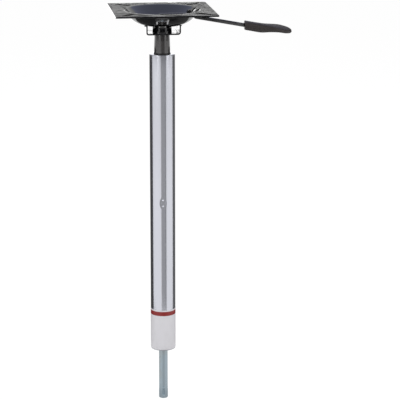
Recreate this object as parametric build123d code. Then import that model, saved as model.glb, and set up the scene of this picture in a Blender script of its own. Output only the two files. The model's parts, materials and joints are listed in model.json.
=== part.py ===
from build123d import *

import os
from math import atan2, cos, degrees, hypot, radians, sin, sqrt, tan

# Boat seat pedestal. Millimetres, +Z up, +X towards the release lever.
# The origin is on the post's axis, in the plane of the post's lower end, where the deck pin leaves it.

# Post
post_length = 548.0
post_r = 22.5
post_wall = 2.5
post_end_round = 1.4
post_end_inner_round = 1.0
end_piece_round = 1.2
post_top_hole_r = 15.2
post_bottom_hole_r = 16.0

# Stakes that hold the base disc in the post
stake_height = 16.5
stake_width = 9.8
stake_depth = 0.9
stake_count = 3
stake_azimuth = -95.0
punch_r = 1.4
punch_point_r = 0.2
punch_depth = 1.6
punch_spacing = 10.6

# Deck pin and plug
plug_height = 46.0
plug_boss_height = 2.0
pin_r = 8.0
pin_press_r = 9.0
pin_length = 98.4
pin_head_r = 12.5
pin_head_height = 4.0
pin_tip_r = 8.24
pin_tip_length = 16.0
pin_tip_chamfer = 1.1
pin_shoulder_chamfer = 0.2
pin_groove_width = 2.8
pin_groove_depth = 2.4
pin_groove_over = 2.0
pin_groove_length = 11.4
pin_dimple_over = 6.2
pin_dimple_r = 1.4
pin_dimple_depth = 2.0
pin_mark_azimuth = -95.0

# Vinyl wrap
wrap_bottom = 2.0
wrap_top = 77.4
wrap_thickness = 0.2

# Gas cylinder
cylinder_r = 14.0
cylinder_wall = 1.5
cylinder_end_lip = 2.0
cylinder_end_round = 1.2
cylinder_end_hole_r = 8.0
taper_length = 34.0
taper_top_r = 12.9
taper_top_chamfer = 0.9
neck_bore_r = 9.0
neck_plug_height = 36.0
neck_lip = 1.5
neck_hole_r = 4.5

# Guide bushing
bushing_length = 110.0
bushing_neck_wall = 0.9
bushing_neck_proud = 1.6

# Rod, base disc and thrust bearing
disc_thickness = 24.0
rod_r = 5.0
journal_r = 4.0
journal_tail = 3.0
race_r = 13.0
race_thickness = 1.5
ball_r = 1.5
ball_count = 12
ball_circle_r = 9.0
cage_r = 11.6
cage_inner_r = 6.4
cage_thickness = 1.2
clip_thickness = 1.2
clip_r = 7.0
clip_groove_depth = 0.8
clip_gap_angle = 70.0
bump_stop_r = 11.0
bump_stop_height = 6.0
bump_stop_round = 1.2

# Inside the cylinder
rise = 178.0
rod_seal_height = 5.0
rod_guide_height = 16.0
rod_guide_spigot = 4.0
inner_tube_bore_r = 10.1
inner_tube_wall = 1.0
piston_height = 12.0
piston_end_gap = 1.0
piston_top_space = 28.6
piston_ring_height = 2.4
piston_ring_depth = 1.6
nut_height = 4.0
nut_flats = 10.0
thread_r = 3.0
thread_tail = 1.0
valve_flange_height = 10.0
valve_spigot = 4.0
valve_pin_r = 2.5
valve_pin_head_r = 3.4
valve_pin_head_height = 2.0
valve_pin_length = 30.0
valve_pin_dome = 0.6
valve_pin_proud = 2.2
seal_ring_width = 2.0
seal_ring_depth = 1.2
seal_ring_pitch = 12.0

# Seat plate
plate_rise = 78.0
plate_side = 177.8
plate_corner_r = 3.0
sheet = 2.6
dish_rim_r = 68.5
dish_rim_round = 5.0
dish_depth = 25.0
dish_floor_r = 24.0
dish_floor_round = 42.4
dish_hole_clearance = 0.4
slot_inset = 25.4
slot_length = 34.0
slot_width = 7.6
notch_azimuth = -6.0
notch_top_depth = 9.0
notch_top_half = 10.4
notch_waist_depth = 18.5
notch_waist_half = 7.6
notch_foot_half = 12.2
notch_corner_r = 3.0
notch_inner_r = 17.0
lip_thickness = 3.0
lip_length = 5.0
lip_proud = 1.2
wall_hole_r = 4.6
wall_hole_azimuth = 17.5
wall_hole_depth = 4.2
window_width = 11.0
window_corner_r = 2.0
window_length_margin = 2.0

# Channel bracket and taper collar
bracket_width = 61.0
bracket_depth = 50.0
bracket_drop = 42.2
bracket_bend_r = 4.5
bracket_hole_r = 3.2
bracket_hole_inset = 14.0
bracket_hole_height = 6.0
collar_r = 17.0
collar_height = 11.6
collar_proud = 0.7
collar_chamfer = 0.8

# Lever
lever_rod_r = 3.5
lever_end_chamfer = 0.6
lever_depth = 10.5
lever_inner_x = -6.0
lever_jog_x = 55.5
lever_jog_drop = 4.0
lever_bend_r = 6.0
lever_slope = 10.5
grip_start_x = 146.5
grip_tip_x = 231.0
rod_end_in_grip = 36.0
pivot_x = 46.0
pivot_r = 1.5
pivot_head_r = 3.0
pivot_head_height = 1.4
pivot_tail = 2.6
pivot_clip_r = 3.0
pivot_clip_thickness = 0.8
pivot_clip_mouth = 2.4
pivot_groove_depth = 0.5
clevis_sheet = 2.2
clevis_inner_x = 15.5
clevis_outer_x = 52.0
clevis_top_depth = 2.0
clevis_top_length = 6.0
clevis_bottom_slope = 0.4
clevis_toe_bevel = 2.6
clevis_top_bevel = 2.0
clevis_top_fall = 7.0
clevis_heel_height = 6.0
lever_lift = 4.0

# Sections of the grip: share of its length, drop of its centre, half height, half width and twist
grip_sections = [
    (0.00, 0.0, 8.4, 8.4, 0),
    (0.14, 2.2, 8.4, 8.6, 0),
    (0.36, 5.4, 8.4, 9.2, 0),
    (0.55, 6.0, 6.8, 10.4, 12),
    (0.72, 6.9, 5.2, 11.2, 20),
    (0.87, 9.4, 4.4, 10.4, 22),
    (0.96, 10.9, 3.5, 7.8, 22),
    (1.00, 11.4, 1.8, 4.0, 22),
]

# Clearances
fit_gap = 0.02
slide_gap = 0.08
running_gap = 0.05
rest_gap = 0.3
ball_gap = 0.02

BASE = (Align.CENTER, Align.CENTER, Align.MIN)

# Heights that follow from the sizes above, from the top down
plate_top = post_length + plate_rise
dish_floor_z = plate_top - dish_depth
bracket_bottom = plate_top - bracket_drop
collar_bottom = bracket_bottom - collar_proud
lever_z = plate_top - lever_depth
pivot_z = lever_z
valve_pin_top = lever_z - lever_rod_r - rest_gap
valve_pin_bottom = valve_pin_top - valve_pin_length
valve_travel = pivot_x * tan(radians(lever_lift))
cylinder_top = valve_pin_top - valve_travel - rest_gap - valve_pin_proud
taper_bottom = cylinder_top - taper_length
neck_bottom = cylinder_top - neck_plug_height
valve_flange_top = neck_bottom - fit_gap
valve_flange_bottom = valve_flange_top - valve_flange_height
rod_top = valve_flange_bottom - valve_spigot - piston_top_space
piston_top = rod_top - thread_tail - nut_height
piston_bottom = piston_top - piston_height
guide_shoulder = piston_bottom - piston_end_gap - rise - rod_guide_spigot
guide_bottom = guide_shoulder - rod_guide_height
seal_bottom = guide_bottom - fit_gap - rod_seal_height
cylinder_bottom = seal_bottom - fit_gap - cylinder_end_lip
shoulder_z = cylinder_bottom - rest_gap - bump_stop_height
upper_race_z = shoulder_z - race_thickness
ball_z = upper_race_z - ball_gap - ball_r
disc_top = ball_z - ball_r - ball_gap - race_thickness
disc_bottom = disc_top - disc_thickness
stake_z = (disc_top + disc_bottom) / 2

# Radii that follow
tube_r = post_r - post_wall
cylinder_bore_r = cylinder_r - cylinder_wall


def ring(outer_r, inner_r, low, high):
    """Plain ring about the axis."""
    height = high - low
    return Pos(0, 0, low) * (Cylinder(outer_r, height, align=BASE) - Cylinder(inner_r, height, align=BASE))


def rod(radius, low, high):
    """Plain round bar about the axis."""
    return Pos(0, 0, low) * Cylinder(radius, high - low, align=BASE)


def turned(points):
    """Solid turned about the axis from (radius, height) points."""
    outline = Polyline(*[(r, 0, z) for r, z in points], close=True)
    return revolve(make_face(outline), Axis.Z)


def stake_prism(azimuth, inner, outer):
    """Oval prism pointing out from the axis at the stake height."""
    oval = Plane.YZ * Ellipse(stake_width / 2, stake_height / 2)
    prism = extrude(oval, outer - inner)
    return Rot(0, 0, azimuth) * Pos(inner, 0, stake_z) * prism


def post_tube():
    """Tube with both ends rolled inward and three oval stakes pressed in at the base disc."""
    body = rod(post_r, 0, post_length)
    body = fillet(body.edges().filter_by(GeomType.CIRCLE), post_end_round)
    hollow = rod(tube_r, post_wall, post_length - post_wall)
    hollow = fillet(hollow.edges().filter_by(GeomType.CIRCLE), post_end_inner_round)
    body -= hollow
    body -= rod(post_top_hole_r, post_length - 2 * post_wall, post_length + 1)
    body -= rod(post_bottom_hole_r, -1, 2 * post_wall)
    dent_floor_r = post_r - stake_depth
    boss_r = tube_r - stake_depth
    low = stake_z - stake_height
    high = stake_z + stake_height
    for index in range(stake_count):
        azimuth = stake_azimuth + index * 360 / stake_count
        body -= stake_prism(azimuth, dent_floor_r - 2, post_r + 1) & ring(post_r + 1, dent_floor_r, low, high)
        body += stake_prism(azimuth, boss_r - 2, post_r - 1) & ring(dent_floor_r, boss_r, low, high)
        for side in (-1, 1):
            punch = Rot(0, 90, 0) * Cone(punch_point_r, punch_r, punch_depth, align=BASE)
            start = Pos(post_r - punch_depth, 0, stake_z + side * punch_spacing / 2)
            body -= Rot(0, 0, azimuth) * start * punch
    return body


def guide_bushing():
    """Sleeve under the rolled top end, with a thin neck that shows round the cylinder."""
    top = post_length - post_wall - fit_gap
    bore_r = cylinder_r + slide_gap
    sleeve_r = tube_r - fit_gap
    sleeve = rod(sleeve_r, top - bushing_length, top)
    sleeve = fillet(sleeve.edges().filter_by(GeomType.CIRCLE), end_piece_round)
    neck = rod(bore_r + bushing_neck_wall, top - 1, post_length + bushing_neck_proud)
    bore = rod(bore_r, top - bushing_length - 1, post_length + bushing_neck_proud + 1)
    return sleeve + neck - bore


def base_disc():
    """Disc with a groove for the stakes and a bore for the rod's journal."""
    disc = ring(tube_r - fit_gap, journal_r + running_gap, disc_bottom, disc_top)
    groove_half = stake_height / 2 + slide_gap
    groove = ring(post_r, tube_r - stake_depth - slide_gap, stake_z - groove_half, stake_z + groove_half)
    return disc - groove


def bottom_plug():
    """Solid plug on the rolled lower end, with a boss that fills the end's hole."""
    low = post_wall + fit_gap
    body = rod(tube_r - fit_gap, low, low + plug_height)
    body = fillet(body.edges().filter_by(GeomType.CIRCLE), end_piece_round)
    body += rod(post_bottom_hole_r - fit_gap, low - plug_boss_height, low + 1)
    return body - rod(pin_press_r + fit_gap, -1, low + plug_height + 1)


def deck_pin():
    """Headed pin: a pressed length in the plug, a plain shank, and a larger grooved tip."""
    plug_top = post_wall + fit_gap + plug_height
    tip_top = pin_tip_length - pin_length
    body = rod(pin_press_r, 0, plug_top + fit_gap)
    body += rod(pin_head_r, plug_top + fit_gap, plug_top + fit_gap + pin_head_height)
    body += rod(pin_r, tip_top, 0)
    tip = rod(pin_tip_r, -pin_length, tip_top)
    tip = chamfer(tip.edges().group_by(Axis.Z)[0], pin_tip_chamfer)
    tip = chamfer(tip.edges().group_by(Axis.Z)[-1], pin_shoulder_chamfer)
    body += tip
    slot = SlotOverall(pin_groove_length, pin_groove_width, rotation=90)
    groove = extrude(Plane.YZ * slot, pin_groove_depth + 1)
    groove = Pos(pin_tip_r - pin_groove_depth, 0, tip_top + pin_groove_over - pin_groove_length / 2) * groove
    dimple = Rot(0, 90, 0) * Cylinder(pin_dimple_r, pin_dimple_depth + 1, align=BASE)
    dimple = Pos(pin_r - pin_dimple_depth, 0, tip_top + pin_dimple_over) * dimple
    return body - Rot(0, 0, pin_mark_azimuth) * (groove + dimple)


def wrap_label():
    """Thin wrap on the post's lower end."""
    return ring(post_r + fit_gap + wrap_thickness, post_r + fit_gap, wrap_bottom, wrap_top)


def lower_race():
    """Thrust washer on the base disc."""
    return ring(race_r, journal_r + running_gap, disc_top, disc_top + race_thickness)


def upper_race():
    """Thrust washer under the rod's shoulder."""
    return ring(race_r, journal_r + running_gap, upper_race_z, shoulder_z)


def bearing_balls():
    """Ring of separate balls between the races."""
    places = Pos(0, 0, ball_z) * PolarLocations(ball_circle_r, ball_count)
    return Compound(children=[place * Sphere(ball_r) for place in places])


def ball_cage():
    """Flat ring with a round pocket for each ball."""
    half = cage_thickness / 2
    cage = ring(cage_r, cage_inner_r, ball_z - half, ball_z + half)
    places = Pos(0, 0, ball_z) * PolarLocations(ball_circle_r, ball_count)
    for place in places:
        cage -= place * Cylinder(ball_r + slide_gap, 2 * cage_thickness)
    return cage


def piston_rod():
    """Rod with a journal in the base disc, a shoulder on the race and a threaded top."""
    tail = disc_bottom - rest_gap - clip_thickness - journal_tail
    body = rod(journal_r, tail, shoulder_z)
    body += rod(rod_r, shoulder_z, piston_bottom)
    body += rod(thread_r, piston_bottom, rod_top)
    body = chamfer(body.edges().group_by(Axis.Z)[0], clip_groove_depth)
    groove_top = disc_bottom - rest_gap
    groove_low = groove_top - clip_thickness - 2 * fit_gap
    return body - ring(journal_r + 1, journal_r - clip_groove_depth, groove_low, groove_top)


def rod_clip():
    """Open clip in the journal's groove, under the base disc."""
    top = disc_bottom - rest_gap - fit_gap
    body = ring(clip_r, journal_r - clip_groove_depth + fit_gap, top - clip_thickness, top)
    half = radians(clip_gap_angle / 2)
    reach = 2 * clip_r
    gap = Polyline((0, 0), (reach * cos(half), -reach * sin(half)), (reach * cos(half), reach * sin(half)), close=True)
    return body - Pos(0, 0, top - clip_thickness - 1) * extrude(make_face(gap), clip_thickness + 2)


def bump_stop():
    """Rubber ring that the cylinder comes down on."""
    body = rod(bump_stop_r, shoulder_z, shoulder_z + bump_stop_height)
    body = fillet(body.edges().group_by(Axis.Z)[-1], bump_stop_round)
    return body - rod(rod_r + fit_gap, shoulder_z - 1, shoulder_z + bump_stop_height + 1)


def piston():
    """Piston with a groove for its ring."""
    body = ring(inner_tube_bore_r - slide_gap, thread_r + fit_gap, piston_bottom, piston_top)
    middle = (piston_bottom + piston_top) / 2
    half = piston_ring_height / 2 + fit_gap
    return body - ring(inner_tube_bore_r, inner_tube_bore_r - piston_ring_depth - fit_gap, middle - half, middle + half)


def piston_ring():
    """Seal ring in the piston's groove."""
    middle = (piston_bottom + piston_top) / 2
    half = piston_ring_height / 2
    inner_r = inner_tube_bore_r - piston_ring_depth
    return ring(inner_tube_bore_r - fit_gap, inner_r, middle - half, middle + half)


def piston_nut():
    """Nut on the rod's threaded top."""
    blank = extrude(RegularPolygon(nut_flats / 2, 6, major_radius=False), nut_height)
    bore = rod(thread_r + fit_gap, -1, nut_height + 1)
    return Pos(0, 0, piston_top) * (blank - bore)


def taper_radius(height):
    """Outer radius of the cylinder's taper at a height."""
    return cylinder_r + (taper_top_r - cylinder_r) * (height - taper_bottom) / taper_length


def gas_cylinder():
    """Outer cylinder: rolled lower end, plain length, tapered neck with a small hole for the valve pin."""
    body = turned([
        (0, cylinder_bottom),
        (cylinder_r, cylinder_bottom),
        (cylinder_r, taper_bottom),
        (taper_top_r, cylinder_top),
        (0, cylinder_top),
    ])
    body = chamfer(body.edges().group_by(Axis.Z)[-1], taper_top_chamfer)
    body = fillet(body.edges().group_by(Axis.Z)[0], cylinder_end_round)
    body -= rod(cylinder_bore_r, cylinder_bottom + cylinder_end_lip, neck_bottom)
    body -= rod(cylinder_end_hole_r, cylinder_bottom - 1, cylinder_bottom + cylinder_end_lip + 1)
    body -= rod(neck_bore_r, neck_bottom - 1, cylinder_top - neck_lip)
    return body - rod(neck_hole_r, cylinder_top - neck_lip - 1, cylinder_top + 1)


def rod_seal():
    """Seal between the cylinder's rolled end and the rod guide."""
    return ring(cylinder_bore_r - fit_gap, rod_r + fit_gap, seal_bottom, seal_bottom + rod_seal_height)


def rod_guide():
    """Guide for the rod, with a spigot inside the inner tube."""
    body = rod(cylinder_bore_r - fit_gap, guide_bottom, guide_shoulder)
    body += rod(inner_tube_bore_r - fit_gap, guide_shoulder - 1, guide_shoulder + rod_guide_spigot)
    return body - rod(rod_r + running_gap, guide_bottom - 1, guide_shoulder + rod_guide_spigot + 1)


def inner_tube():
    """Pressure tube between the rod guide and the valve body."""
    outer_r = inner_tube_bore_r + inner_tube_wall
    return ring(outer_r, inner_tube_bore_r, guide_shoulder + fit_gap, valve_flange_bottom - fit_gap)


def seal_heights():
    """Heights of the two seal rings in the cylinder's neck."""
    middle = (neck_bottom + cylinder_top - neck_lip) / 2
    return [middle - seal_ring_pitch / 2, middle + seal_ring_pitch / 2]


def valve_body():
    """Valve housing: spigot in the inner tube, flange in the cylinder, grooved stem in the neck."""
    stem_r = neck_bore_r - fit_gap
    top = cylinder_top - neck_lip - fit_gap
    body = rod(cylinder_bore_r - fit_gap, valve_flange_bottom, valve_flange_top)
    body += rod(inner_tube_bore_r - fit_gap, valve_flange_bottom - valve_spigot, valve_flange_bottom + 1)
    body += rod(stem_r, valve_flange_top - 1, top)
    body -= rod(valve_pin_r + running_gap, valve_flange_bottom, top + 1)
    space_low = valve_pin_bottom - valve_travel - 2 * rest_gap
    space_high = valve_pin_bottom + valve_pin_head_height + rest_gap
    body -= rod(valve_pin_head_r + running_gap, space_low, space_high)
    half = seal_ring_width / 2 + fit_gap
    for height in seal_heights():
        body -= ring(neck_bore_r + 1, neck_bore_r - seal_ring_depth - fit_gap, height - half, height + half)
    return body


def valve_seals():
    """Two seal rings on the valve body's stem."""
    half = seal_ring_width / 2
    inner_r = neck_bore_r - seal_ring_depth
    return Compound(children=[ring(neck_bore_r - fit_gap, inner_r, z - half, z + half) for z in seal_heights()])


def valve_pin():
    """Button that the lever presses down, with a head that keeps it in the valve body."""
    pin = rod(valve_pin_r, valve_pin_bottom, valve_pin_top)
    pin = fillet(pin.edges().group_by(Axis.Z)[-1], valve_pin_dome)
    return pin + rod(valve_pin_head_r, valve_pin_bottom, valve_pin_bottom + valve_pin_head_height)


def taper_collar():
    """Ring with a tapered bore, in the bracket's floor."""
    top = collar_bottom + collar_height
    body = rod(collar_r, collar_bottom, top)
    body = chamfer(body.edges().filter_by(GeomType.CIRCLE), collar_chamfer)
    bore = turned([
        (0, collar_bottom - 1),
        (taper_radius(collar_bottom - 1) + fit_gap, collar_bottom - 1),
        (taper_radius(top + 1) + fit_gap, top + 1),
        (0, top + 1),
    ])
    return body - bore


def dish_surface(drop):
    """Half section points and arcs of the dish's surface, a given distance under its top side."""
    floor_r = dish_floor_round + drop
    rim_r = dish_rim_round - drop
    floor_centre = (dish_floor_r, dish_floor_z + dish_floor_round)
    rim_centre = (dish_rim_r, plate_top - dish_rim_round)
    across = rim_centre[0] - floor_centre[0]
    up = rim_centre[1] - floor_centre[1]
    radii = dish_floor_round + dish_rim_round
    straight = sqrt(hypot(across, up) ** 2 - radii ** 2)
    slope = atan2(up, across) + atan2(radii, straight)

    def on_floor(angle):
        return (floor_centre[0] + floor_r * sin(angle), 0, floor_centre[1] - floor_r * cos(angle))

    def on_rim(angle):
        return (rim_centre[0] - rim_r * sin(angle), 0, rim_centre[1] + rim_r * cos(angle))

    axis_point = (0, 0, dish_floor_z - drop)
    return [
        Line(axis_point, on_floor(0)),
        ThreePointArc(on_floor(0), on_floor(slope / 2), on_floor(slope)),
        Line(on_floor(slope), on_rim(slope)),
        ThreePointArc(on_rim(slope), on_rim(slope / 2), on_rim(0)),
    ]


def dish_layer(top_drop, under_drop):
    """Turned solid between two surfaces of the dish, out to its rim."""
    upper = dish_surface(top_drop)
    lower = dish_surface(under_drop)
    edges = upper + lower
    edges.append(Line(upper[0] @ 0, lower[0] @ 0))
    edges.append(Line(upper[-1] @ 1, lower[-1] @ 1))
    return revolve(make_face(edges), Axis.Z)


def dish_under_solid(clearance):
    """Everything inside the dish's underside, used to trim what is welded under it."""
    lower = dish_surface(sheet + clearance)
    rim_point = lower[-1] @ 1
    top_point = (0, 0, rim_point.Z)
    edges = lower + [Line(rim_point, top_point), Line(top_point, lower[0] @ 0)]
    return revolve(make_face(edges), Axis.Z)


def notch_outline(grow):
    """Waisted outline of the notch, seen from the front, widened all round by grow."""
    top = plate_top - notch_top_depth + grow
    waist = plate_top - notch_waist_depth
    foot = waist - (top - grow - waist)
    right = ThreePointArc(
        (notch_foot_half + grow, 0, foot),
        (notch_waist_half + grow, 0, waist),
        (notch_top_half + grow, 0, top),
    )
    left = mirror(right, Plane.YZ)
    edges = [right, left, Line(right @ 1, left @ 1), Line(left @ 0, right @ 0)]
    face = make_face(edges)
    corners = face.vertices().group_by(Axis.Z)[-1]
    return fillet(corners, notch_corner_r)


def notch_cut():
    """Prism that cuts the notch, from near the neck out through the wall."""
    cut = extrude(notch_outline(0), dish_rim_r, dir=(0, -1, 0))
    return Rot(0, 0, notch_azimuth) * (cut - rod(notch_inner_r, 0, plate_top + 1))


def notch_lip():
    """Turned-in lip that follows the notch's edge."""
    band = extrude(notch_outline(lip_thickness), dish_rim_r, dir=(0, -1, 0))
    band -= extrude(notch_outline(0), dish_rim_r + 1, dir=(0, -1, 0))
    band &= ring(2 * dish_rim_r, notch_inner_r, dish_floor_z + lip_length, plate_top)
    return Rot(0, 0, notch_azimuth) * band & dish_layer(-lip_length, sheet + lip_proud)


def window_inner_x():
    """Inner end of the lever's window: the wall there stops the lever just under its rest height."""
    stop_height = lever_z - lever_rod_r - rest_gap
    rise_from_centre = dish_floor_z + dish_floor_round - stop_height
    return dish_floor_r + sqrt(dish_floor_round ** 2 - rise_from_centre ** 2)


def lever_window():
    """Slot in plan that lets the lever through the dish's wall."""
    inner = window_inner_x()
    outer = lever_jog_x + lever_jog_drop + lever_rod_r + window_length_margin
    opening = Pos((inner + outer) / 2, 0) * RectangleRounded(outer - inner, window_width, window_corner_r)
    return Pos(0, 0, dish_floor_z - sheet) * extrude(opening, dish_depth)


def wall_hole(azimuth):
    """Round hole square to the dish's wall, near the rim."""
    height = plate_top - wall_hole_depth
    straight = dish_surface(0)[2]
    start = straight @ 0
    slope = (straight @ 1) - start
    radius = start.X + slope.X * (height - start.Z) / slope.Z
    tilt = degrees(atan2(slope.Z, slope.X))
    bore = Rot(0, -tilt, 0) * Cylinder(wall_hole_r, 6 * sheet)
    return Rot(0, 0, azimuth) * Pos(radius, 0, height) * bore


def seat_plate():
    """Stamped plate: square flange, dish, corner slots, lipped front notch, lever window and wall holes."""
    flange = extrude(RectangleRounded(plate_side, plate_side, plate_corner_r), sheet)
    body = Pos(0, 0, plate_top - sheet) * flange
    body -= rod(dish_rim_r, plate_top - 2 * sheet, plate_top + sheet)
    body += dish_layer(0, sheet)
    body += notch_lip()
    body -= notch_cut()
    body -= rod(taper_radius(dish_floor_z) + dish_hole_clearance, dish_floor_z - 2 * sheet, plate_top)
    slot = extrude(SlotOverall(slot_length, slot_width, rotation=45), 3 * sheet)
    reach = plate_side / 2 - slot_inset
    for quarter in range(4):
        body -= Rot(0, 0, 90 * quarter) * Pos(reach, reach, plate_top - 2 * sheet) * slot
    body -= lever_window()
    body -= wall_hole(wall_hole_azimuth)
    return body - wall_hole(-wall_hole_azimuth)


def channel_bracket():
    """Folded channel, open to front and back, trimmed to the dish's underside."""
    height = bracket_drop - dish_depth / 2
    outer = Pos(0, 0, bracket_bottom) * Box(bracket_width, bracket_depth, height, align=BASE)
    outer = fillet(outer.edges().filter_by(Axis.Y).group_by(Axis.Z)[0], bracket_bend_r)
    inner_width = bracket_width - 2 * sheet
    inner = Pos(0, 0, bracket_bottom + sheet) * Box(inner_width, bracket_depth + 2, height, align=BASE)
    inner = fillet(inner.edges().filter_by(Axis.Y).group_by(Axis.Z)[0], bracket_bend_r - sheet)
    body = outer - inner - dish_under_solid(fit_gap)
    body -= rod(collar_r + fit_gap, bracket_bottom - 1, bracket_bottom + sheet + 1)
    side_hole = Rot(0, 90, 0) * Cylinder(bracket_hole_r, 2 * bracket_width)
    hole_y = bracket_depth / 2 - bracket_hole_inset
    return body - Pos(0, hole_y, bracket_bottom + sheet + bracket_hole_height) * side_hole


def lever_point(x):
    """Point of the lever's centre line on its long outer slope."""
    foot = lever_jog_x + lever_jog_drop
    fall = tan(radians(lever_slope)) * (x - foot)
    return (x, 0, lever_z - lever_jog_drop - fall)


def lever_path():
    """Centre line of the lever rod: level inside the dish, a short drop at the wall, then a long slope."""
    foot = lever_jog_x + lever_jog_drop
    return FilletPolyline(
        (lever_inner_x, 0, lever_z),
        (lever_jog_x, 0, lever_z),
        lever_point(foot),
        lever_point(grip_start_x + rod_end_in_grip),
        radius=lever_bend_r,
    )


def lever_bar(radius):
    """Round bar along the lever's centre line."""
    path = lever_path()
    start = Plane(origin=path @ 0, z_dir=path % 0)
    return sweep(start * Circle(radius), path)


def lever_rod():
    """Bent rod with a cross hole for the pivot pin."""
    bar = lever_bar(lever_rod_r)
    bar = chamfer(bar.edges().group_by(Axis.X)[0], lever_end_chamfer)
    hole = Rot(90, 0, 0) * Cylinder(pivot_r + running_gap, 4 * lever_rod_r)
    return bar - Pos(pivot_x, 0, pivot_z) * hole


def lever_grip():
    """Moulded grip: round at the rod, flattening and twisting into a paddle towards its tip."""
    faces = []
    start_z = lever_point(grip_start_x)[2]
    for share, drop, half_height, half_width, twist in grip_sections:
        x = grip_start_x + share * (grip_tip_x - grip_start_x)
        place = Plane(origin=(x, 0, start_z - drop), x_dir=(0, 1, 0), z_dir=(1, 0, 0))
        faces.append(place * Rot(0, 0, twist) * Ellipse(half_width, half_height))
    body = loft(Sketch() + faces)
    return body - lever_bar(lever_rod_r + fit_gap)


def clevis_gap():
    """Half of the space between the clevis's two ears."""
    return lever_rod_r + rest_gap


def lever_clevis():
    """Folded bracket welded to the dish's floor, with two tall ears for the pivot."""
    floor = dish_floor_z + fit_gap
    top = plate_top - clevis_top_depth
    heel_x = dish_floor_r
    toe_z = floor + clevis_bottom_slope * (clevis_outer_x - clevis_top_bevel - heel_x)
    side = Polyline(
        (clevis_inner_x, 0, floor),
        (heel_x, 0, floor),
        (clevis_outer_x - clevis_top_bevel, 0, toe_z),
        (clevis_outer_x, 0, toe_z + clevis_toe_bevel),
        (clevis_outer_x, 0, top - clevis_top_bevel),
        (clevis_outer_x - clevis_top_bevel, 0, top),
        (clevis_outer_x - clevis_top_length, 0, top),
        (clevis_outer_x - clevis_top_length - 2 * clevis_top_bevel, 0, top - clevis_top_fall),
        (clevis_inner_x, 0, floor + clevis_heel_height),
        close=True,
    )
    half = clevis_gap() + clevis_sheet
    block = extrude(make_face(side), half, both=True)
    gap_low = floor + clevis_sheet
    gap = Pos(0, 0, gap_low) * Box(4 * clevis_outer_x, 2 * clevis_gap(), dish_depth, align=BASE)
    open_toe = Pos(heel_x, 0, floor) * Box(
        clevis_outer_x, 2 * clevis_gap(), dish_depth, align=(Align.MIN, Align.CENTER, Align.MIN)
    )
    hole = Pos(pivot_x, 0, pivot_z) * Rot(90, 0, 0) * Cylinder(pivot_r + running_gap, 4 * half)
    return block - gap - open_toe - hole


def pivot_pin():
    """Headed pin through the ears and the lever, with a groove for its clip."""
    half = clevis_gap() + clevis_sheet + fit_gap
    length = 2 * half + pivot_tail
    pin = Cylinder(pivot_r, length, align=BASE)
    pin += Pos(0, 0, -pivot_head_height) * Cylinder(pivot_head_r, pivot_head_height, align=BASE)
    groove_low = 2 * half + fit_gap
    pin -= ring(pivot_r + 1, pivot_r - pivot_groove_depth, groove_low, groove_low + pivot_clip_thickness + 2 * fit_gap)
    return Pos(pivot_x, -half, pivot_z) * Rot(-90, 0, 0) * pin


def pivot_clip():
    """Clip in the pivot pin's groove."""
    half = clevis_gap() + clevis_sheet + fit_gap
    clip = ring(pivot_clip_r, pivot_r - pivot_groove_depth + fit_gap, 0, pivot_clip_thickness)
    clip -= Pos(pivot_clip_r, 0, 0) * Box(2 * pivot_clip_r, pivot_clip_mouth, 4 * pivot_clip_thickness)
    return Pos(pivot_x, half + 2 * fit_gap, pivot_z) * Rot(-90, 0, 0) * clip


PIECES = [
    post_tube,
    guide_bushing,
    base_disc,
    bottom_plug,
    deck_pin,
    wrap_label,
    lower_race,
    ball_cage,
    bearing_balls,
    upper_race,
    piston_rod,
    rod_clip,
    bump_stop,
    piston,
    piston_ring,
    piston_nut,
    gas_cylinder,
    inner_tube,
    rod_guide,
    rod_seal,
    valve_body,
    valve_seals,
    valve_pin,
    taper_collar,
    channel_bracket,
    seat_plate,
    lever_clevis,
    pivot_pin,
    pivot_clip,
    lever_rod,
    lever_grip,
]

os.makedirs("parts", exist_ok=True)
for piece in PIECES:
    export_step(piece(), "parts/" + piece.__name__ + ".step")
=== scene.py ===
"""Looks of a boat seat pedestal: aluminium post, deck pin, gas cylinder, dished seat mount and lever."""

import json
import logging
import math
from collections.abc import Callable, Iterable, Sequence
from dataclasses import dataclass, field
from enum import Enum
from typing import Any

import bmesh
import bpy
import numpy as np
from mathutils import Matrix, Vector
from mathutils.geometry import delaunay_2d_cdt


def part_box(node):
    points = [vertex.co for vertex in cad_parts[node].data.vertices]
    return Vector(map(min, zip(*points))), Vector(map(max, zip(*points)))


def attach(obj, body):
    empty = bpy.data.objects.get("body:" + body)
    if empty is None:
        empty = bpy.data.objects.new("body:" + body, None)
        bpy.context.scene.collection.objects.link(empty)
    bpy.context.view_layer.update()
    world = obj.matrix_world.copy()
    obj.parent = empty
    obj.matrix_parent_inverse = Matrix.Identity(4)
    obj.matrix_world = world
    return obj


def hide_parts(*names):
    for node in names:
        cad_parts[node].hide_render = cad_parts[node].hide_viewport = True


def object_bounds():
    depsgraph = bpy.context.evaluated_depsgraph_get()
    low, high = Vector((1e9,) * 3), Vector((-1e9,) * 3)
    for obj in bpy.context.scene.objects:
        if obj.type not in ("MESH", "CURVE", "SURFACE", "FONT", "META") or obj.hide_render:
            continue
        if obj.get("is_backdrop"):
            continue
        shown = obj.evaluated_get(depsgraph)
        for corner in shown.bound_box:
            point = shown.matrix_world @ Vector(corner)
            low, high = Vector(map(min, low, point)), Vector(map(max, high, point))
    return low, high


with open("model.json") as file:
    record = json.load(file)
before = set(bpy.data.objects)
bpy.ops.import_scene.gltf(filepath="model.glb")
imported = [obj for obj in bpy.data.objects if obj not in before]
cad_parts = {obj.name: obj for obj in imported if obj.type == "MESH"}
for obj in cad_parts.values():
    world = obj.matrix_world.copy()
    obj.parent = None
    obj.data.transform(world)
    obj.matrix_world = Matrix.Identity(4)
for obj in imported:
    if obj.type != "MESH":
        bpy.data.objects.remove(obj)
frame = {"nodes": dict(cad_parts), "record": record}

LOG = logging.getLogger("pedestal")
MM = 0.001

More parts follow.
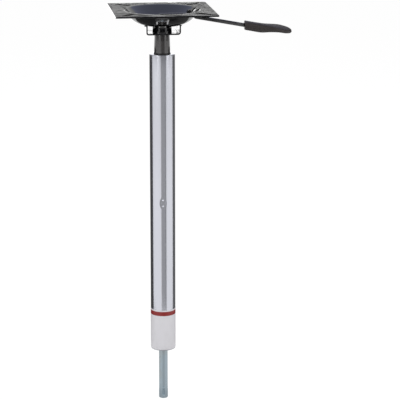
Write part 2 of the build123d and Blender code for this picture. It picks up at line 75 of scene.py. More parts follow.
Colour = tuple[float, float, float]
Point = tuple[float, float]
Profile = list[Point]
Border = tuple[list[Vector], list[Vector]]
Socket = bpy.types.NodeSocket
Node = bpy.types.Node
NodeTree = bpy.types.NodeTree
Piece = bpy.types.Object

WHITE: Colour = (1.0, 1.0, 1.0)
X, Y, Z = range(3)

# Points closer than this are one point, in millimetres
SAME_POINT = 0.002

# A row added to a profile stays this far from the profile's own points, in millimetres
ROW_GAP = 0.05

# Places of the share, the two colours and the result among the sockets of a Mix node
MIX_SHARE, MIX_FIRST, MIX_LAST, MIX_RESULT = 0, 6, 7, 2


def lowest(node: str, axis: int = Z) -> float:
    """Lowest place of a CAD node at rest along an axis, in millimetres."""
    return round(float(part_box(node)[0][axis]) / MM, 3)


def highest(node: str, axis: int = Z) -> float:
    """Highest place of a CAD node at rest along an axis, in millimetres."""
    return round(float(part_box(node)[1][axis]) / MM, 3)


class Slot(Enum):
    """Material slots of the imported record."""

    ALUMINIUM = "satin_aluminium"
    ZINC = "zinc_steel"
    GROUND_STEEL = "bearing_steel"
    GLOSS_BLACK = "black_paint"
    CYLINDER_BLACK = "cylinder_paint"
    BUSHING = "bushing_plastic"
    GRIP = "grip_plastic"
    VINYL = "white_vinyl"
    RUBBER = "seal_rubber"


class Body(Enum):
    """Bodies that pieces ride on."""

    POST = "post"
    CARRIAGE = "carriage"
    LEVER = "lever"
    VALVE = "valve"


# Node trees


class Graph:
    """A node tree while it is put together."""

    def __init__(self, tree: NodeTree) -> None:
        """Starts on a tree and empties it.

        Args:
            tree: The shader or geometry tree to fill.
        """
        self.tree = tree
        tree.nodes.clear()

    def add(self, kind: str, inputs: dict[str | int, Any] | None = None, **settings: Any) -> Node:
        """Adds a node.

        Args:
            kind: The node's type name.
            inputs: Values or sockets for its inputs, by name or number.
            **settings: The node's own properties.

        Returns:
            The new node.
        """
        node = self.tree.nodes.new(kind)
        for key, value in settings.items():
            setattr(node, key, value)
        for key, value in (inputs or {}).items():
            if isinstance(value, Socket):
                self.tree.links.new(value, node.inputs[key])
            else:
                node.inputs[key].default_value = value
        return node

    def math(self, operation: str, *values: Any, clamp: bool = False) -> Socket:
        """Adds a Math node.

        Args:
            operation: The node's operation.
            *values: Its inputs in order, numbers or sockets.
            clamp: Whether the result is kept between 0 and 1.

        Returns:
            The result's socket.
        """
        node = self.add("ShaderNodeMath", dict(enumerate(values)), operation=operation, use_clamp=clamp)
        return node.outputs[0]

    def vector(self, operation: str, *values: Any) -> Socket:
        """Adds a Vector Math node and returns its vector.

        Args:
            operation: The node's operation.
            *values: Its inputs in order.

        Returns:
            The result's socket.
        """
        keys = [0, "Scale"] if operation == "SCALE" else range(len(values))
        return self.add("ShaderNodeVectorMath", dict(zip(keys, values)), operation=operation).outputs[0]

    def remap(self, value: Any, low: float, high: float, first: float, last: float,
              smooth: bool = False) -> Socket:
        """Adds a Map Range node.

        Args:
            value: The socket to map.
            low: Start of the input range.
            high: End of the input range.
            first: Result at low.
            last: Result at high.
            smooth: Whether the step is eased.

        Returns:
            The result's socket.
        """
        kind = "SMOOTHSTEP" if smooth else "LINEAR"
        inputs = {"Value": value, "From Min": low, "From Max": high, "To Min": first, "To Max": last}
        return self.add("ShaderNodeMapRange", inputs, interpolation_type=kind).outputs["Result"]

    def place(self, scale: Sequence[float]) -> Socket:
        """Returns Object coordinates scaled along each axis."""
        coordinates = self.add("ShaderNodeTexCoord").outputs["Object"]
        return self.add("ShaderNodeMapping", {"Vector": coordinates, "Scale": scale}).outputs[0]

    def noise(self, scale: Sequence[float], detail: float = 3.0, rough: float = 0.5) -> Socket:
        """Returns noise on scaled Object coordinates, from 0 to 1.

        Args:
            scale: Cells per metre along X, Y and Z.
            detail: Octaves of the noise.
            rough: Weight of the finer octaves.

        Returns:
            The noise's value.
        """
        inputs = {"Vector": self.place(scale), "Scale": 1.0, "Detail": detail, "Roughness": rough}
        return self.add("ShaderNodeTexNoise", inputs).outputs["Fac"]

    def blend(self, share: Any, first: Any, last: Any) -> Socket:
        """Mixes two colours.

        Args:
            share: Share of the last colour.
            first: Colour or socket at 0.
            last: Colour or socket at 1.

        Returns:
            The mixed colour's socket.
        """
        ends = [end if isinstance(end, Socket) else (*end, 1.0) for end in (first, last)]
        inputs = {MIX_SHARE: share, MIX_FIRST: ends[0], MIX_LAST: ends[1]}
        return self.add("ShaderNodeMix", inputs, data_type="RGBA").outputs[MIX_RESULT]

    def bump(self, height: Any, depth: float, under: Any = None) -> Socket:
        """Adds a bump of a real depth.

        Args:
            height: Socket with the height, from 0 to 1.
            depth: Its depth in metres.
            under: Normal that the bump is laid on, if any.

        Returns:
            The normal's socket.
        """
        inputs = {"Height": height, "Distance": depth, "Strength": 1.0}
        if under is not None:
            inputs["Normal"] = under
        return self.add("ShaderNodeBump", inputs).outputs[0]


# Finishes


@dataclass(frozen=True)
class Finish:
    """A surface finish, built once as a material."""

    name: str
    colour: Colour
    roughness: float
    metallic: float = 0.0

    def material(self) -> bpy.types.Material:
        """Returns the finish's material."""
        found = bpy.data.materials.get(self.name)
        if found:
            return found
        made = bpy.data.materials.new(self.name)
        made.use_nodes = True
        graph = Graph(made.node_tree)
        plain = {"Base Color": (*self.colour, 1.0), "Metallic": self.metallic, "Roughness": self.roughness}
        shader = graph.add("ShaderNodeBsdfPrincipled", plain)
        self.dress(graph, shader)
        graph.add("ShaderNodeOutputMaterial", {"Surface": shader.outputs[0]})
        return made

    def dress(self, graph: Graph, shader: Node) -> None:
        """Adds the finish's detail.

        Args:
            graph: The material's tree.
            shader: Its Principled node.
        """

    def vary(self, graph: Graph, shader: Node, value: Any, spread: float) -> None:
        """Varies the roughness.

        Args:
            graph: The material's tree.
            shader: Its Principled node.
            value: Socket from 0 to 1.
            spread: How far the roughness goes to each side.
        """
        low, high = self.roughness - spread, self.roughness + spread
        graph.tree.links.new(graph.remap(value, 0.25, 0.75, low, high), shader.inputs["Roughness"])

    def tint(self, graph: Graph, shader: Node, value: Any, other: Colour) -> None:
        """Varies the colour between the finish's own and another.

        Args:
            graph: The material's tree.
            shader: Its Principled node.
            value: Socket from 0 to 1.
            other: Colour at 1.
        """
        graph.tree.links.new(graph.blend(value, self.colour, other), shader.inputs["Base Color"])


@dataclass(frozen=True)
class DrawnAluminium(Finish):
    """Satin anodised tube with fine lines along its length and faint handling marks."""

    grain: float = 1500.0
    grain_depth: float = 0.000012
    scuff: Colour = (0.54, 0.55, 0.60)
    most_wear: float = 0.30
    most_scratch: float = 0.25

    def dress(self, graph: Graph, shader: Node) -> None:
        """Adds the drawing lines, the clouding and a few fine scratches."""
        lines = graph.noise((self.grain, self.grain, 8.0), 4.0, 0.6)
        cloud = graph.noise((14.0, 14.0, 5.0), 4.0)
        marks = graph.noise((420.0, 420.0, 30.0), 2.0, 0.7)
        scratch = graph.remap(marks, 0.66, 0.72, 0.0, 1.0, smooth=True)
        wear = graph.remap(cloud, 0.35, 0.8, 0.0, self.most_wear)
        scuffed = graph.math("ADD", wear, graph.math("MULTIPLY", scratch, self.most_scratch), clamp=True)
        self.tint(graph, shader, scuffed, self.scuff)
        satin = graph.math("ADD", graph.math("MULTIPLY", lines, 0.7), graph.math("MULTIPLY", cloud, 0.3))
        self.vary(graph, shader, satin, 0.04)
        fine = graph.bump(lines, self.grain_depth)
        graph.tree.links.new(graph.bump(scratch, -self.grain_depth, fine), shader.inputs["Normal"])


@dataclass(frozen=True)
class ZincPlate(Finish):
    """Bluish zinc plating over turned steel."""

    stain: Colour = (0.52, 0.50, 0.43)
    ring_pitch: float = 0.0007
    ring_depth: float = 0.000008
    mottle_depth: float = 0.00001

    def dress(self, graph: Graph, shader: Node) -> None:
        """Adds mottling, a faint straw stain and fine turning rings."""
        mottle = graph.noise((160.0, 160.0, 110.0), 5.0, 0.65)
        stain = graph.noise((45.0, 45.0, 30.0), 3.0)
        rings = graph.noise((20.0, 20.0, 1.0 / self.ring_pitch), 2.0)
        self.tint(graph, shader, graph.remap(stain, 0.45, 0.85, 0.0, 0.65), self.stain)
        self.vary(graph, shader, mottle, 0.10)
        fine = graph.bump(rings, self.ring_depth)
        graph.tree.links.new(graph.bump(mottle, self.mottle_depth, fine), shader.inputs["Normal"])


@dataclass(frozen=True)
class GroundSteel(Finish):
    """Ground and hardened steel."""

    mark_depth: float = 0.000004

    def dress(self, graph: Graph, shader: Node) -> None:
        """Adds fine grinding marks."""
        marks = graph.noise((900.0, 900.0, 60.0), 3.0)
        self.vary(graph, shader, marks, 0.05)
        graph.tree.links.new(graph.bump(marks, self.mark_depth), shader.inputs["Normal"])


@dataclass(frozen=True)
class Paint(Finish):
    """Paint on pressed steel: orange peel, dust and lightly rubbed patches."""

    peel: float = 330.0
    peel_depth: float = 0.000015
    wave: float = 32.0
    wave_depth: float = 0.0
    rubbed: Colour = (0.05, 0.05, 0.055)
    coat: float = 0.0
    coat_roughness: float = 0.08
    ior: float = 1.5

    def dress(self, graph: Graph, shader: Node) -> None:
        """Adds the peel, the dulled patches and specks of dust."""
        peel = graph.noise((self.peel,) * 3, 2.0, 0.4)
        patches = graph.noise((26.0, 26.0, 26.0), 4.0, 0.6)
        dust = graph.remap(graph.noise((1400.0,) * 3, 2.0), 0.66, 0.72, 0.0, 0.6, smooth=True)
        haze = graph.remap(patches, 0.4, 0.8, 0.0, 0.5)
        self.tint(graph, shader, graph.math("ADD", haze, dust, clamp=True), self.rubbed)
        self.vary(graph, shader, patches, self.roughness * 0.35)
        shader.inputs["Coat Weight"].default_value = self.coat
        shader.inputs["Coat Roughness"].default_value = self.coat_roughness
        shader.inputs["IOR"].default_value = self.ior
        normal = graph.bump(peel, self.peel_depth)
        if self.wave_depth:
            normal = graph.bump(graph.noise((self.wave,) * 3, 2.0, 0.45), self.wave_depth, normal)
            graph.tree.links.new(normal, shader.inputs["Coat Normal"])
        graph.tree.links.new(normal, shader.inputs["Normal"])


@dataclass(frozen=True)
class PaintWithPaintedHighlight(Paint):
    """Black paint with a grey painted highlight below a height that rises towards +X, standing in for the
    glint of light on a rolled edge.
    """

    # Grey of the painted highlight; then the height, fade and slope towards +X of its upper line, and how
    # ragged that line is
    highlight_grey: Colour = (0.50, 0.50, 0.51)
    worn_top: float = 615.0
    highlight_fade: float = 1.2
    highlight_tilt: float = 0.2
    ragged: float = 2.0

    def dress(self, graph: Graph, shader: Node) -> None:
        """Adds the paint's own detail, then the grey painted highlight below a ragged line that rises
        towards +X.
        """
        super().dress(graph, shader)
        place = graph.add("ShaderNodeTexCoord").outputs["Object"]
        parts = graph.add("ShaderNodeSeparateXYZ", {0: place}).outputs
        height = graph.math("MULTIPLY", parts["Z"], 1.0 / MM)
        tilted = graph.math("ADD", height, graph.math("MULTIPLY", parts["X"], -self.highlight_tilt / MM))
        uneven = graph.math("MULTIPLY", graph.noise((300.0,) * 3, 3.0), self.ragged)
        line = graph.math("ADD", tilted, uneven)
        middle = self.worn_top + self.ragged / 2
        # Share of the painted highlight: 1 below the line, 0 above it
        highlight_share = graph.remap(line, middle - self.highlight_fade, middle + self.highlight_fade, 1.0, 0.0, smooth=True)
        self.tint(graph, shader, highlight_share, self.highlight_grey)


@dataclass(frozen=True)
class Moulded(Finish):
    """Moulded plastic or rubber with a fine spark-eroded grain and rubbed highs."""

    grain: float = 1100.0
    grain_depth: float = 0.00004
    uneven_depth: float = 0.0001
    worn: Colour = (0.045, 0.04, 0.04)

    def dress(self, graph: Graph, shader: Node) -> None:
        """Adds the grain, larger unevenness and lighter rubbed places."""
        grain = graph.noise((self.grain,) * 3, 3.0, 0.6)
        broad = graph.noise((60.0, 60.0, 60.0), 3.0)
        self.tint(graph, shader, graph.remap(broad, 0.45, 0.85, 0.0, 0.45), self.worn)
        self.vary(graph, shader, broad, 0.07)
        uneven = graph.bump(broad, self.uneven_depth)
        graph.tree.links.new(graph.bump(grain, self.grain_depth, uneven), shader.inputs["Normal"])


@dataclass(frozen=True)
class PrintedVinyl(Finish):
    """White vinyl film with a plain red band."""

    band: Colour = (0.29, 0.016, 0.015)
    band_low: float = 67.2
    band_high: float = 75.2
    edge: float = 0.12
    soiled: Colour = (0.66, 0.64, 0.65)
    wave_depth: float = 0.00012

    def dress(self, graph: Graph, shader: Node) -> None:
        """Adds the band, slight soiling and the film's waviness."""
        coordinates = graph.add("ShaderNodeTexCoord").outputs["Object"]
        z = graph.add("ShaderNodeSeparateXYZ", {0: coordinates}).outputs["Z"]
        height = graph.math("MULTIPLY", z, 1.0 / MM)
        soil = graph.noise((40.0, 40.0, 25.0), 4.0)
        paper = graph.blend(graph.remap(soil, 0.45, 0.85, 0.0, 0.35), self.colour, self.soiled)
        colour = graph.blend(self.stripe(graph, height, self.band_low, self.band_high), paper, self.band)
        graph.tree.links.new(colour, shader.inputs["Base Color"])
        self.vary(graph, shader, soil, 0.06)
        wave = graph.noise((35.0, 35.0, 18.0), 2.0)
        graph.tree.links.new(graph.bump(wave, self.wave_depth), shader.inputs["Normal"])

    def stripe(self, graph: Graph, height: Any, low: float, high: float) -> Socket:
        """Returns a socket that is 1 between two heights and 0 outside."""
        rising = graph.remap(height, low - self.edge, low + self.edge, 0.0, 1.0)
        falling = graph.remap(height, high - self.edge, high + self.edge, 1.0, 0.0)
        return graph.math("MULTIPLY", rising, falling)


ALUMINIUM = DrawnAluminium("satin anodised aluminium", (0.61, 0.62, 0.675), 0.17, 1.0)
TURNED_ALUMINIUM = DrawnAluminium("turned aluminium", (0.72, 0.72, 0.74), 0.34, 1.0)
ZINC = ZincPlate("zinc plate", (0.55, 0.66, 0.73), 0.34, 1.0)
STEEL = GroundSteel("ground steel", (0.74, 0.74, 0.75), 0.16, 1.0)
GLOSS_BLACK = Paint("gloss black paint", (0.005, 0.005, 0.006), 0.10, wave_depth=0.0007,
                    rubbed=(0.016, 0.016, 0.018), coat=0.4)
# Black paint with a grey painted highlight on the notch lip's lower part, in place of the glint on its
# rolled edge
BLACK_WITH_PAINTED_HIGHLIGHT = PaintWithPaintedHighlight("black paint with painted highlight", (0.005, 0.005, 0.006), 0.16, coat=0.4)
CYLINDER_BLACK = Paint("satin black paint", (0.010, 0.008, 0.0075), 0.22, peel=600.0,
                       rubbed=(0.026, 0.022, 0.020), ior=1.9)
BUSHING_BLACK = Moulded("black bushing plastic", (0.005, 0.005, 0.005), 0.5, worn=(0.012, 0.012, 0.012))
GRIP_BLACK = Moulded("soft black grip plastic", (0.018, 0.0125, 0.012), 0.46, grain=800.0,
                     grain_depth=0.00006, worn=(0.036, 0.028, 0.027))
VINYL = PrintedVinyl("white vinyl", (0.84, 0.83, 0.87), 0.34)
RUBBER = Moulded("black rubber", (0.022, 0.022, 0.022), 0.62, worn=(0.05, 0.05, 0.05))


# Outlines and meshes


def rounded(corners: Sequence[tuple[float, float, float]], steps: int = 6) -> Profile:
    """Rounds the corners of a closed outline.

    Args:
        corners: Corners as x, y and radius.
        steps: Steps in each rounding.

    Returns:
        The outline's points, without the first repeated.
    """
    points: Profile = []
    for index, (x, y, radius) in enumerate(corners):
        here = Vector((x, y))
        if radius <= 0:
            points.append((x, y))
            continue
        before = (Vector(corners[index - 1][:2]) - here).normalized()
        after = (Vector(corners[(index + 1) % len(corners)][:2]) - here).normalized()
        half = before.angle(after) / 2
        centre = here + (before + after).normalized() * (radius / math.sin(half))
        start = here + before * (radius / math.tan(half)) - centre
        end = here + after * (radius / math.tan(half)) - centre
        for step in range(steps + 1):
            spot = centre + start.slerp(end, step / steps) * radius
            points.append((spot.x, spot.y))
    return points


def circle(x: float, y: float, radius: float, count: int, across: float | None = None) -> Profile:
    """Points of a circle or an upright ellipse.

    Args:
        x: Centre along the first axis.
        y: Centre along the second axis.
        radius: Radius along the first axis.
        count: Number of points.
        across: Radius along the second axis, if it differs.

    Returns:
        The points, anticlockwise.
    """
    turns = [2 * math.pi * index / count for index in range(count)]
    other = radius if across is None else across
    return [(x + radius * math.cos(turn), y + other * math.sin(turn)) for turn in turns]


def turned_by(points: Iterable[Point], degrees: float) -> Profile:
    """Turns points about the origin."""
    c, s = math.cos(math.radians(degrees)), math.sin(math.radians(degrees))
    return [(x * c - y * s, x * s + y * c) for x, y in points]


def resampled(points: Profile, pitch: float) -> Profile:
    """Adds points to a closed outline so that no side is longer than the pitch."""
    result: Profile = []
    for index, (x, y) in enumerate(points):
        other = points[(index + 1) % len(points)]
        count = max(1, math.ceil(math.hypot(other[0] - x, other[1] - y) / pitch))
        for step in range(count):
            share = step / count
            result.append((x + (other[0] - x) * share, y + (other[1] - y) * share))
    return result


def with_rows(points: Profile, heights: Sequence[float]) -> Profile:
    """Adds points to a closed profile where it passes the given heights.

    Args:
        points: Points of radius and height.
        heights: The heights, rising.

    Returns:
        The profile with the added points.
    """
    result: Profile = []
    for index, (r, z) in enumerate(points):
        other_r, other_z = points[(index + 1) % len(points)]
        result.append((r, z))
        between = [h for h in heights if min(z, other_z) + ROW_GAP < h < max(z, other_z) - ROW_GAP]
        for height in between if other_z > z else between[::-1]:
            result.append((r + (other_r - r) * (height - z) / (other_z - z), height))
    return result


def mesh_object(name: str, points: Iterable[Sequence[float]], faces: Any = (), edges: Any = ()) -> Piece:
    """Makes an object from points in millimetres.

    Args:
        name: Its name.
        points: Its points.
        faces: Its faces.
        edges: Its loose edges.

    Returns:
        The object, linked to the scene.
    """
    mesh = bpy.data.meshes.new(name)
    mesh.from_pydata([tuple(value * MM for value in point) for point in points], list(edges), list(faces))
    made = bpy.data.objects.new(name, mesh)
    bpy.context.scene.collection.objects.link(made)
    return made


def chain_object(name: str, points: Iterable[Sequence[float]], closed: bool = False) -> Piece:
    """Makes an object of one chain of edges.

    Args:
        name: Its name.
        points: The chain's points in millimetres.
        closed: Whether the first point is repeated at the end.

    Returns:
        The object.
    """
    spots = list(points)
    if closed:
        spots.append(spots[0])
    return mesh_object(name, spots, edges=[(index, index + 1) for index in range(len(spots) - 1)])


def settle(piece: Piece) -> None:
    """Turns a piece's modifiers into its plain mesh."""
    evaluated = piece.evaluated_get(bpy.context.evaluated_depsgraph_get())
    mesh = bpy.data.meshes.new_from_object(evaluated)
    piece.modifiers.clear()
    old, piece.data = piece.data, mesh
    bpy.data.meshes.remove(old)


def run_tree(piece: Piece, tree: NodeTree, **values: Any) -> None:
    """Runs a geometry tree on a piece and keeps the result as its mesh.

    Args:
        piece: The piece.
        tree: The geometry tree.
        **values: The tree's inputs, by name with _ for a space.
    """
    modifier = piece.modifiers.new(tree.name, "NODES")
    modifier.node_group = tree
    for socket in tree.interface.items_tree:
        key = socket.name.lower().replace(" ", "_")
        if socket.in_out == "INPUT" and key in values:
            modifier[socket.identifier] = values[key]
    settle(piece)


def smooth(piece: Piece, angle: float = 30.0) -> None:
    """Merges doubles, turns faces outwards and shades smooth up to an angle.

    Args:
        piece: The piece.
        angle: Sharpest smooth edge, in degrees.
    """
    work = bmesh.new()
    work.from_mesh(piece.data)
    bmesh.ops.remove_doubles(work, verts=work.verts, dist=SAME_POINT * MM)
    bmesh.ops.recalc_face_normals(work, faces=work.faces)
    work.to_mesh(piece.data)
    work.free()
    piece.data.shade_smooth()
    piece.data.set_sharp_from_angle(angle=math.radians(angle))


def round_edges(piece: Piece, width: float, angle: float = 40.0, segments: int = 2) -> None:
    """Rounds a piece's sharp edges.

    Args:
        piece: The piece.
        width: Width of the rounding, in millimetres.
        angle: Least angle of an edge that is rounded.
        segments: Faces across the rounding.
    """
    bevel = piece.modifiers.new("rounding", "BEVEL")
    bevel.width = width * MM
    bevel.segments = segments
    bevel.limit_method = "ANGLE"
    bevel.angle_limit = math.radians(angle)
    bevel.use_clamp_overlap = True
    settle(piece)


def hand_over(piece: Piece, body: Body, finish: Finish, nodes: Sequence[str] = ()) -> None:
    """Gives a piece its finish, its body and the nodes that it stands for.

    Args:
        piece: The piece.
        body: The body it rides on.
        finish: Its finish.
        nodes: CAD nodes that it replaces.
    """
    piece.data.materials.clear()
    piece.data.materials.append(finish.material())
    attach(piece, body.value)
    if nodes:
        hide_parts(*nodes)
    LOG.info("%s: %d faces, %s", piece.name, len(piece.data.polygons), finish.name)


# Geometry trees


class TreeInput(Enum):
    """Kinds of input socket of a geometry tree."""

    GEOMETRY = "NodeSocketGeometry"
    NUMBER = "NodeSocketFloat"
    COUNT = "NodeSocketInt"
    MATERIAL = "NodeSocketMaterial"


def geometry_tree(name: str, inputs: dict[str, TreeInput]) -> tuple[Graph, Node]:
    """Starts a geometry tree.

    Args:
        name: The tree's name.
        inputs: Its inputs after the geometry.

    Returns:
        The graph and its Group Input node.
    """
    tree = bpy.data.node_groups.new(name, "GeometryNodeTree")
    tree.interface.new_socket("Geometry", in_out="INPUT", socket_type=TreeInput.GEOMETRY.value)
    for label, kind in inputs.items():
        tree.interface.new_socket(label, in_out="INPUT", socket_type=kind.value)
    tree.interface.new_socket("Geometry", in_out="OUTPUT", socket_type=TreeInput.GEOMETRY.value)
    graph = Graph(tree)
    return graph, graph.add("NodeGroupInput")


def end_tree(graph: Graph, geometry: Any, material: Any) -> NodeTree:
    """Ends a tree with its realized instances and its material.

    Args:
        graph: The tree's graph.
        geometry: Socket with the geometry.
        material: Socket with the material.

    Returns:
        The finished tree.
    """
    real = graph.add("GeometryNodeRealizeInstances", {0: geometry}).outputs[0]
    done = graph.add("GeometryNodeSetMaterial", {"Geometry": real, "Material": material}).outputs[0]
    graph.add("NodeGroupOutput", {0: done})
    return graph.tree


def lathe_tree() -> NodeTree:
    """Tree that turns a chain of points in the XZ plane about the Z axis.

    Returns:
        The tree, with Rows, Segments and Material as inputs.
    """
    kinds = {"Rows": TreeInput.COUNT, "Segments": TreeInput.COUNT, "Material": TreeInput.MATERIAL}
    graph, start = geometry_tree("turn a profile", kinds)
    rows, segments = start.outputs["Rows"], start.outputs["Segments"]
    columns = graph.math("ADD", segments, 1.0)
    grid = graph.add("GeometryNodeMeshGrid", {"Vertices X": columns, "Vertices Y": rows})
    index = graph.add("GeometryNodeInputIndex").outputs[0]
    row = graph.math("FLOORED_MODULO", index, rows)
    column = graph.math("FLOOR", graph.math("DIVIDE", graph.math("ADD", index, 0.5), rows))
    turn = graph.math("MULTIPLY", graph.math("DIVIDE", column, segments), 2 * math.pi)
    position = graph.add("GeometryNodeInputPosition").outputs[0]
    inputs = {"Geometry": start.outputs["Geometry"], "Value": position, "Index": row}
    sample = graph.add("GeometryNodeSampleIndex", inputs, data_type="FLOAT_VECTOR", domain="POINT")
    parts = graph.add("ShaderNodeSeparateXYZ", {0: sample.outputs[0]}).outputs
    x = graph.math("MULTIPLY", parts["X"], graph.math("COSINE", turn))
    y = graph.math("MULTIPLY", parts["X"], graph.math("SINE", turn))
    spot = graph.add("ShaderNodeCombineXYZ", {"X": x, "Y": y, "Z": parts["Z"]}).outputs[0]
    inputs = {"Geometry": grid.outputs[0], "Position": spot}
    moved = graph.add("GeometryNodeSetPosition", inputs).outputs[0]
    inputs = {"Geometry": moved, "Distance": SAME_POINT / 2 * MM}
    merged = graph.add("GeometryNodeMergeByDistance", inputs).outputs[0]
    return end_tree(graph, merged, start.outputs["Material"])


def dent_tree() -> NodeTree:
    """Tree that presses a row of dents round the Z axis into a wall.

    Returns:
        The tree; sizes are in metres and Azimuth in degrees.
    """
    labels = ["Azimuth", "Height", "Half Width", "Half Height", "Depth", "Edge", "Squareness"]
    labels += ["Least Radius"]
    kinds = {"Count": TreeInput.COUNT} | {label: TreeInput.NUMBER for label in labels}
    graph, start = geometry_tree("press dents", kinds | {"Material": TreeInput.MATERIAL})
    given = start.outputs
    position = graph.add("GeometryNodeInputPosition").outputs[0]
    parts = graph.add("ShaderNodeSeparateXYZ", {0: position}).outputs
    squares = [graph.math("POWER", parts[axis], 2.0) for axis in "XY"]
    radius = graph.math("SQRT", graph.math("ADD", *squares))
    turn = graph.math("DEGREES", graph.math("ARCTAN2", parts["Y"], parts["X"]))
    half = graph.math("DIVIDE", 180.0, given["Count"])
    off = graph.math("SUBTRACT", turn, given["Azimuth"])
    near = graph.math("WRAP", off, half, graph.math("MULTIPLY", half, -1.0))
    across = graph.math("MULTIPLY", graph.math("RADIANS", graph.math("ABSOLUTE", near)), radius)
    along = graph.math("ABSOLUTE", graph.math("SUBTRACT", parts["Z"], given["Height"]))
    shares = [graph.math("POWER", graph.math("DIVIDE", way, given[label]), given["Squareness"])
              for way, label in ((across, "Half Width"), (along, "Half Height"))]
    root = graph.math("DIVIDE", 1.0, given["Squareness"])
    reach = graph.math("POWER", graph.math("ADD", *shares), root)
    low = graph.math("SUBTRACT", 1.0, given["Edge"])
    high = graph.math("ADD", 1.0, given["Edge"])
    inside = graph.remap(reach, low, high, 1.0, 0.0, smooth=True)
    outer = graph.math("GREATER_THAN", radius, given["Least Radius"])
    press = graph.math("MULTIPLY", graph.math("MULTIPLY", inside, outer), given["Depth"])
    flat = graph.add("ShaderNodeCombineXYZ", {"X": parts["X"], "Y": parts["Y"]}).outputs[0]
    inward = graph.vector("SCALE", graph.vector("NORMALIZE", flat), graph.math("MULTIPLY", press, -1.0))
    inputs = {"Geometry": given["Geometry"], "Offset": inward}
    moved = graph.add("GeometryNodeSetPosition", inputs).outputs[0]
    return end_tree(graph, moved, given["Material"])


def sweep_tree() -> NodeTree:
    """Tree that sweeps a circle along a chain of edges.

    Returns:
        The tree, with Radius, Sides and Material as inputs.
    """
    kinds = {"Radius": TreeInput.NUMBER, "Sides": TreeInput.COUNT, "Material": TreeInput.MATERIAL}
    graph, start = geometry_tree("sweep a rod", kinds)
    path = graph.add("GeometryNodeMeshToCurve", {"Mesh": start.outputs["Geometry"]}).outputs[0]
    inputs = {"Resolution": start.outputs["Sides"], "Radius": start.outputs["Radius"]}
    section = graph.add("GeometryNodeCurvePrimitiveCircle", inputs).outputs[0]
    inputs = {"Curve": path, "Profile Curve": section, "Fill Caps": True}
    swept = graph.add("GeometryNodeCurveToMesh", inputs).outputs[0]
    return end_tree(graph, swept, start.outputs["Material"])


def bead_tree() -> NodeTree:
    """Tree that lays the overlapping ripples of a weld along a chain of edges.

    Returns:
        The tree, with Spacing, Size, Seed and Material as inputs.
    """
    kinds = {"Spacing": TreeInput.NUMBER, "Size": TreeInput.NUMBER, "Seed": TreeInput.COUNT}
    graph, start = geometry_tree("lay a weld bead", kinds | {"Material": TreeInput.MATERIAL})
    given = start.outputs
    path = graph.add("GeometryNodeMeshToCurve", {"Mesh": given["Geometry"]}).outputs[0]
    inputs = {"Curve": path, "Length": given["Spacing"]}
    pitch = graph.add("GeometryNodeResampleCurve", inputs, mode="LENGTH").outputs[0]
    inputs = {"Radius": given["Size"], "Subdivisions": 2}
    ripple = graph.add("GeometryNodeMeshIcoSphere", inputs).outputs[0]
    least, most = (0.75, 0.9, 0.9), (0.95, 1.12, 1.1)
    inputs = {0: least, 1: most, "Seed": given["Seed"]}
    uneven = graph.add("FunctionNodeRandomValue", inputs, data_type="FLOAT_VECTOR").outputs[0]
    tangent = graph.add("GeometryNodeInputTangent").outputs[0]
    turn = graph.add("FunctionNodeAlignRotationToVector", {"Vector": tangent}, axis="X").outputs[0]
    inputs = {"Points": pitch, "Instance": ripple, "Rotation": turn, "Scale": uneven}
    laid = graph.add("GeometryNodeInstanceOnPoints", inputs).outputs[0]
    return end_tree(graph, laid, given["Material"])


@dataclass(frozen=True)
class Dent:
    """Dents pressed into a turned wall at even steps, in millimetres. A negative depth stands proud."""

    height: float
    half_width: float
    half_height: float
    depth: float
    edge: float
    squareness: float = 2.0
    least_radius: float = 0.0
    azimuth: float = 0.0
    count: int = 1


@dataclass
class Trees:
    """The geometry trees that the pieces share."""

    lathe: NodeTree = field(default_factory=lathe_tree)
    dents: NodeTree = field(default_factory=dent_tree)
    sweep: NodeTree = field(default_factory=sweep_tree)
    beads: NodeTree = field(default_factory=bead_tree)

    def turned(self, name: str, profile: Profile, segments: int, finish: Finish) -> Piece:
        """Turns a closed profile of radius and height, in millimetres.

        Args:
            name: The piece's name.
            profile: Points of radius and height.
            segments: Faces round the axis.
            finish: The finish of the result.

        Returns:
            The turned piece.
        """
        piece = chain_object(name, [(r, 0.0, z) for r, z in profile], closed=True)
        rows = len(profile) + 1
        run_tree(piece, self.lathe, rows=rows, segments=segments, material=finish.material())
        return piece

    def press(self, piece: Piece, dent: Dent, finish: Finish) -> None:
        """Presses dents into a turned piece.

        Args:
            piece: The piece.
            dent: The dents.
            finish: The piece's finish.
        """
        labels = ("height", "half_width", "half_height", "depth", "least_radius")
        lengths = {label: getattr(dent, label) * MM for label in labels}
        run_tree(piece, self.dents, count=dent.count, azimuth=dent.azimuth, edge=dent.edge,
                 squareness=dent.squareness, material=finish.material(), **lengths)


# Pressed and folded sheet


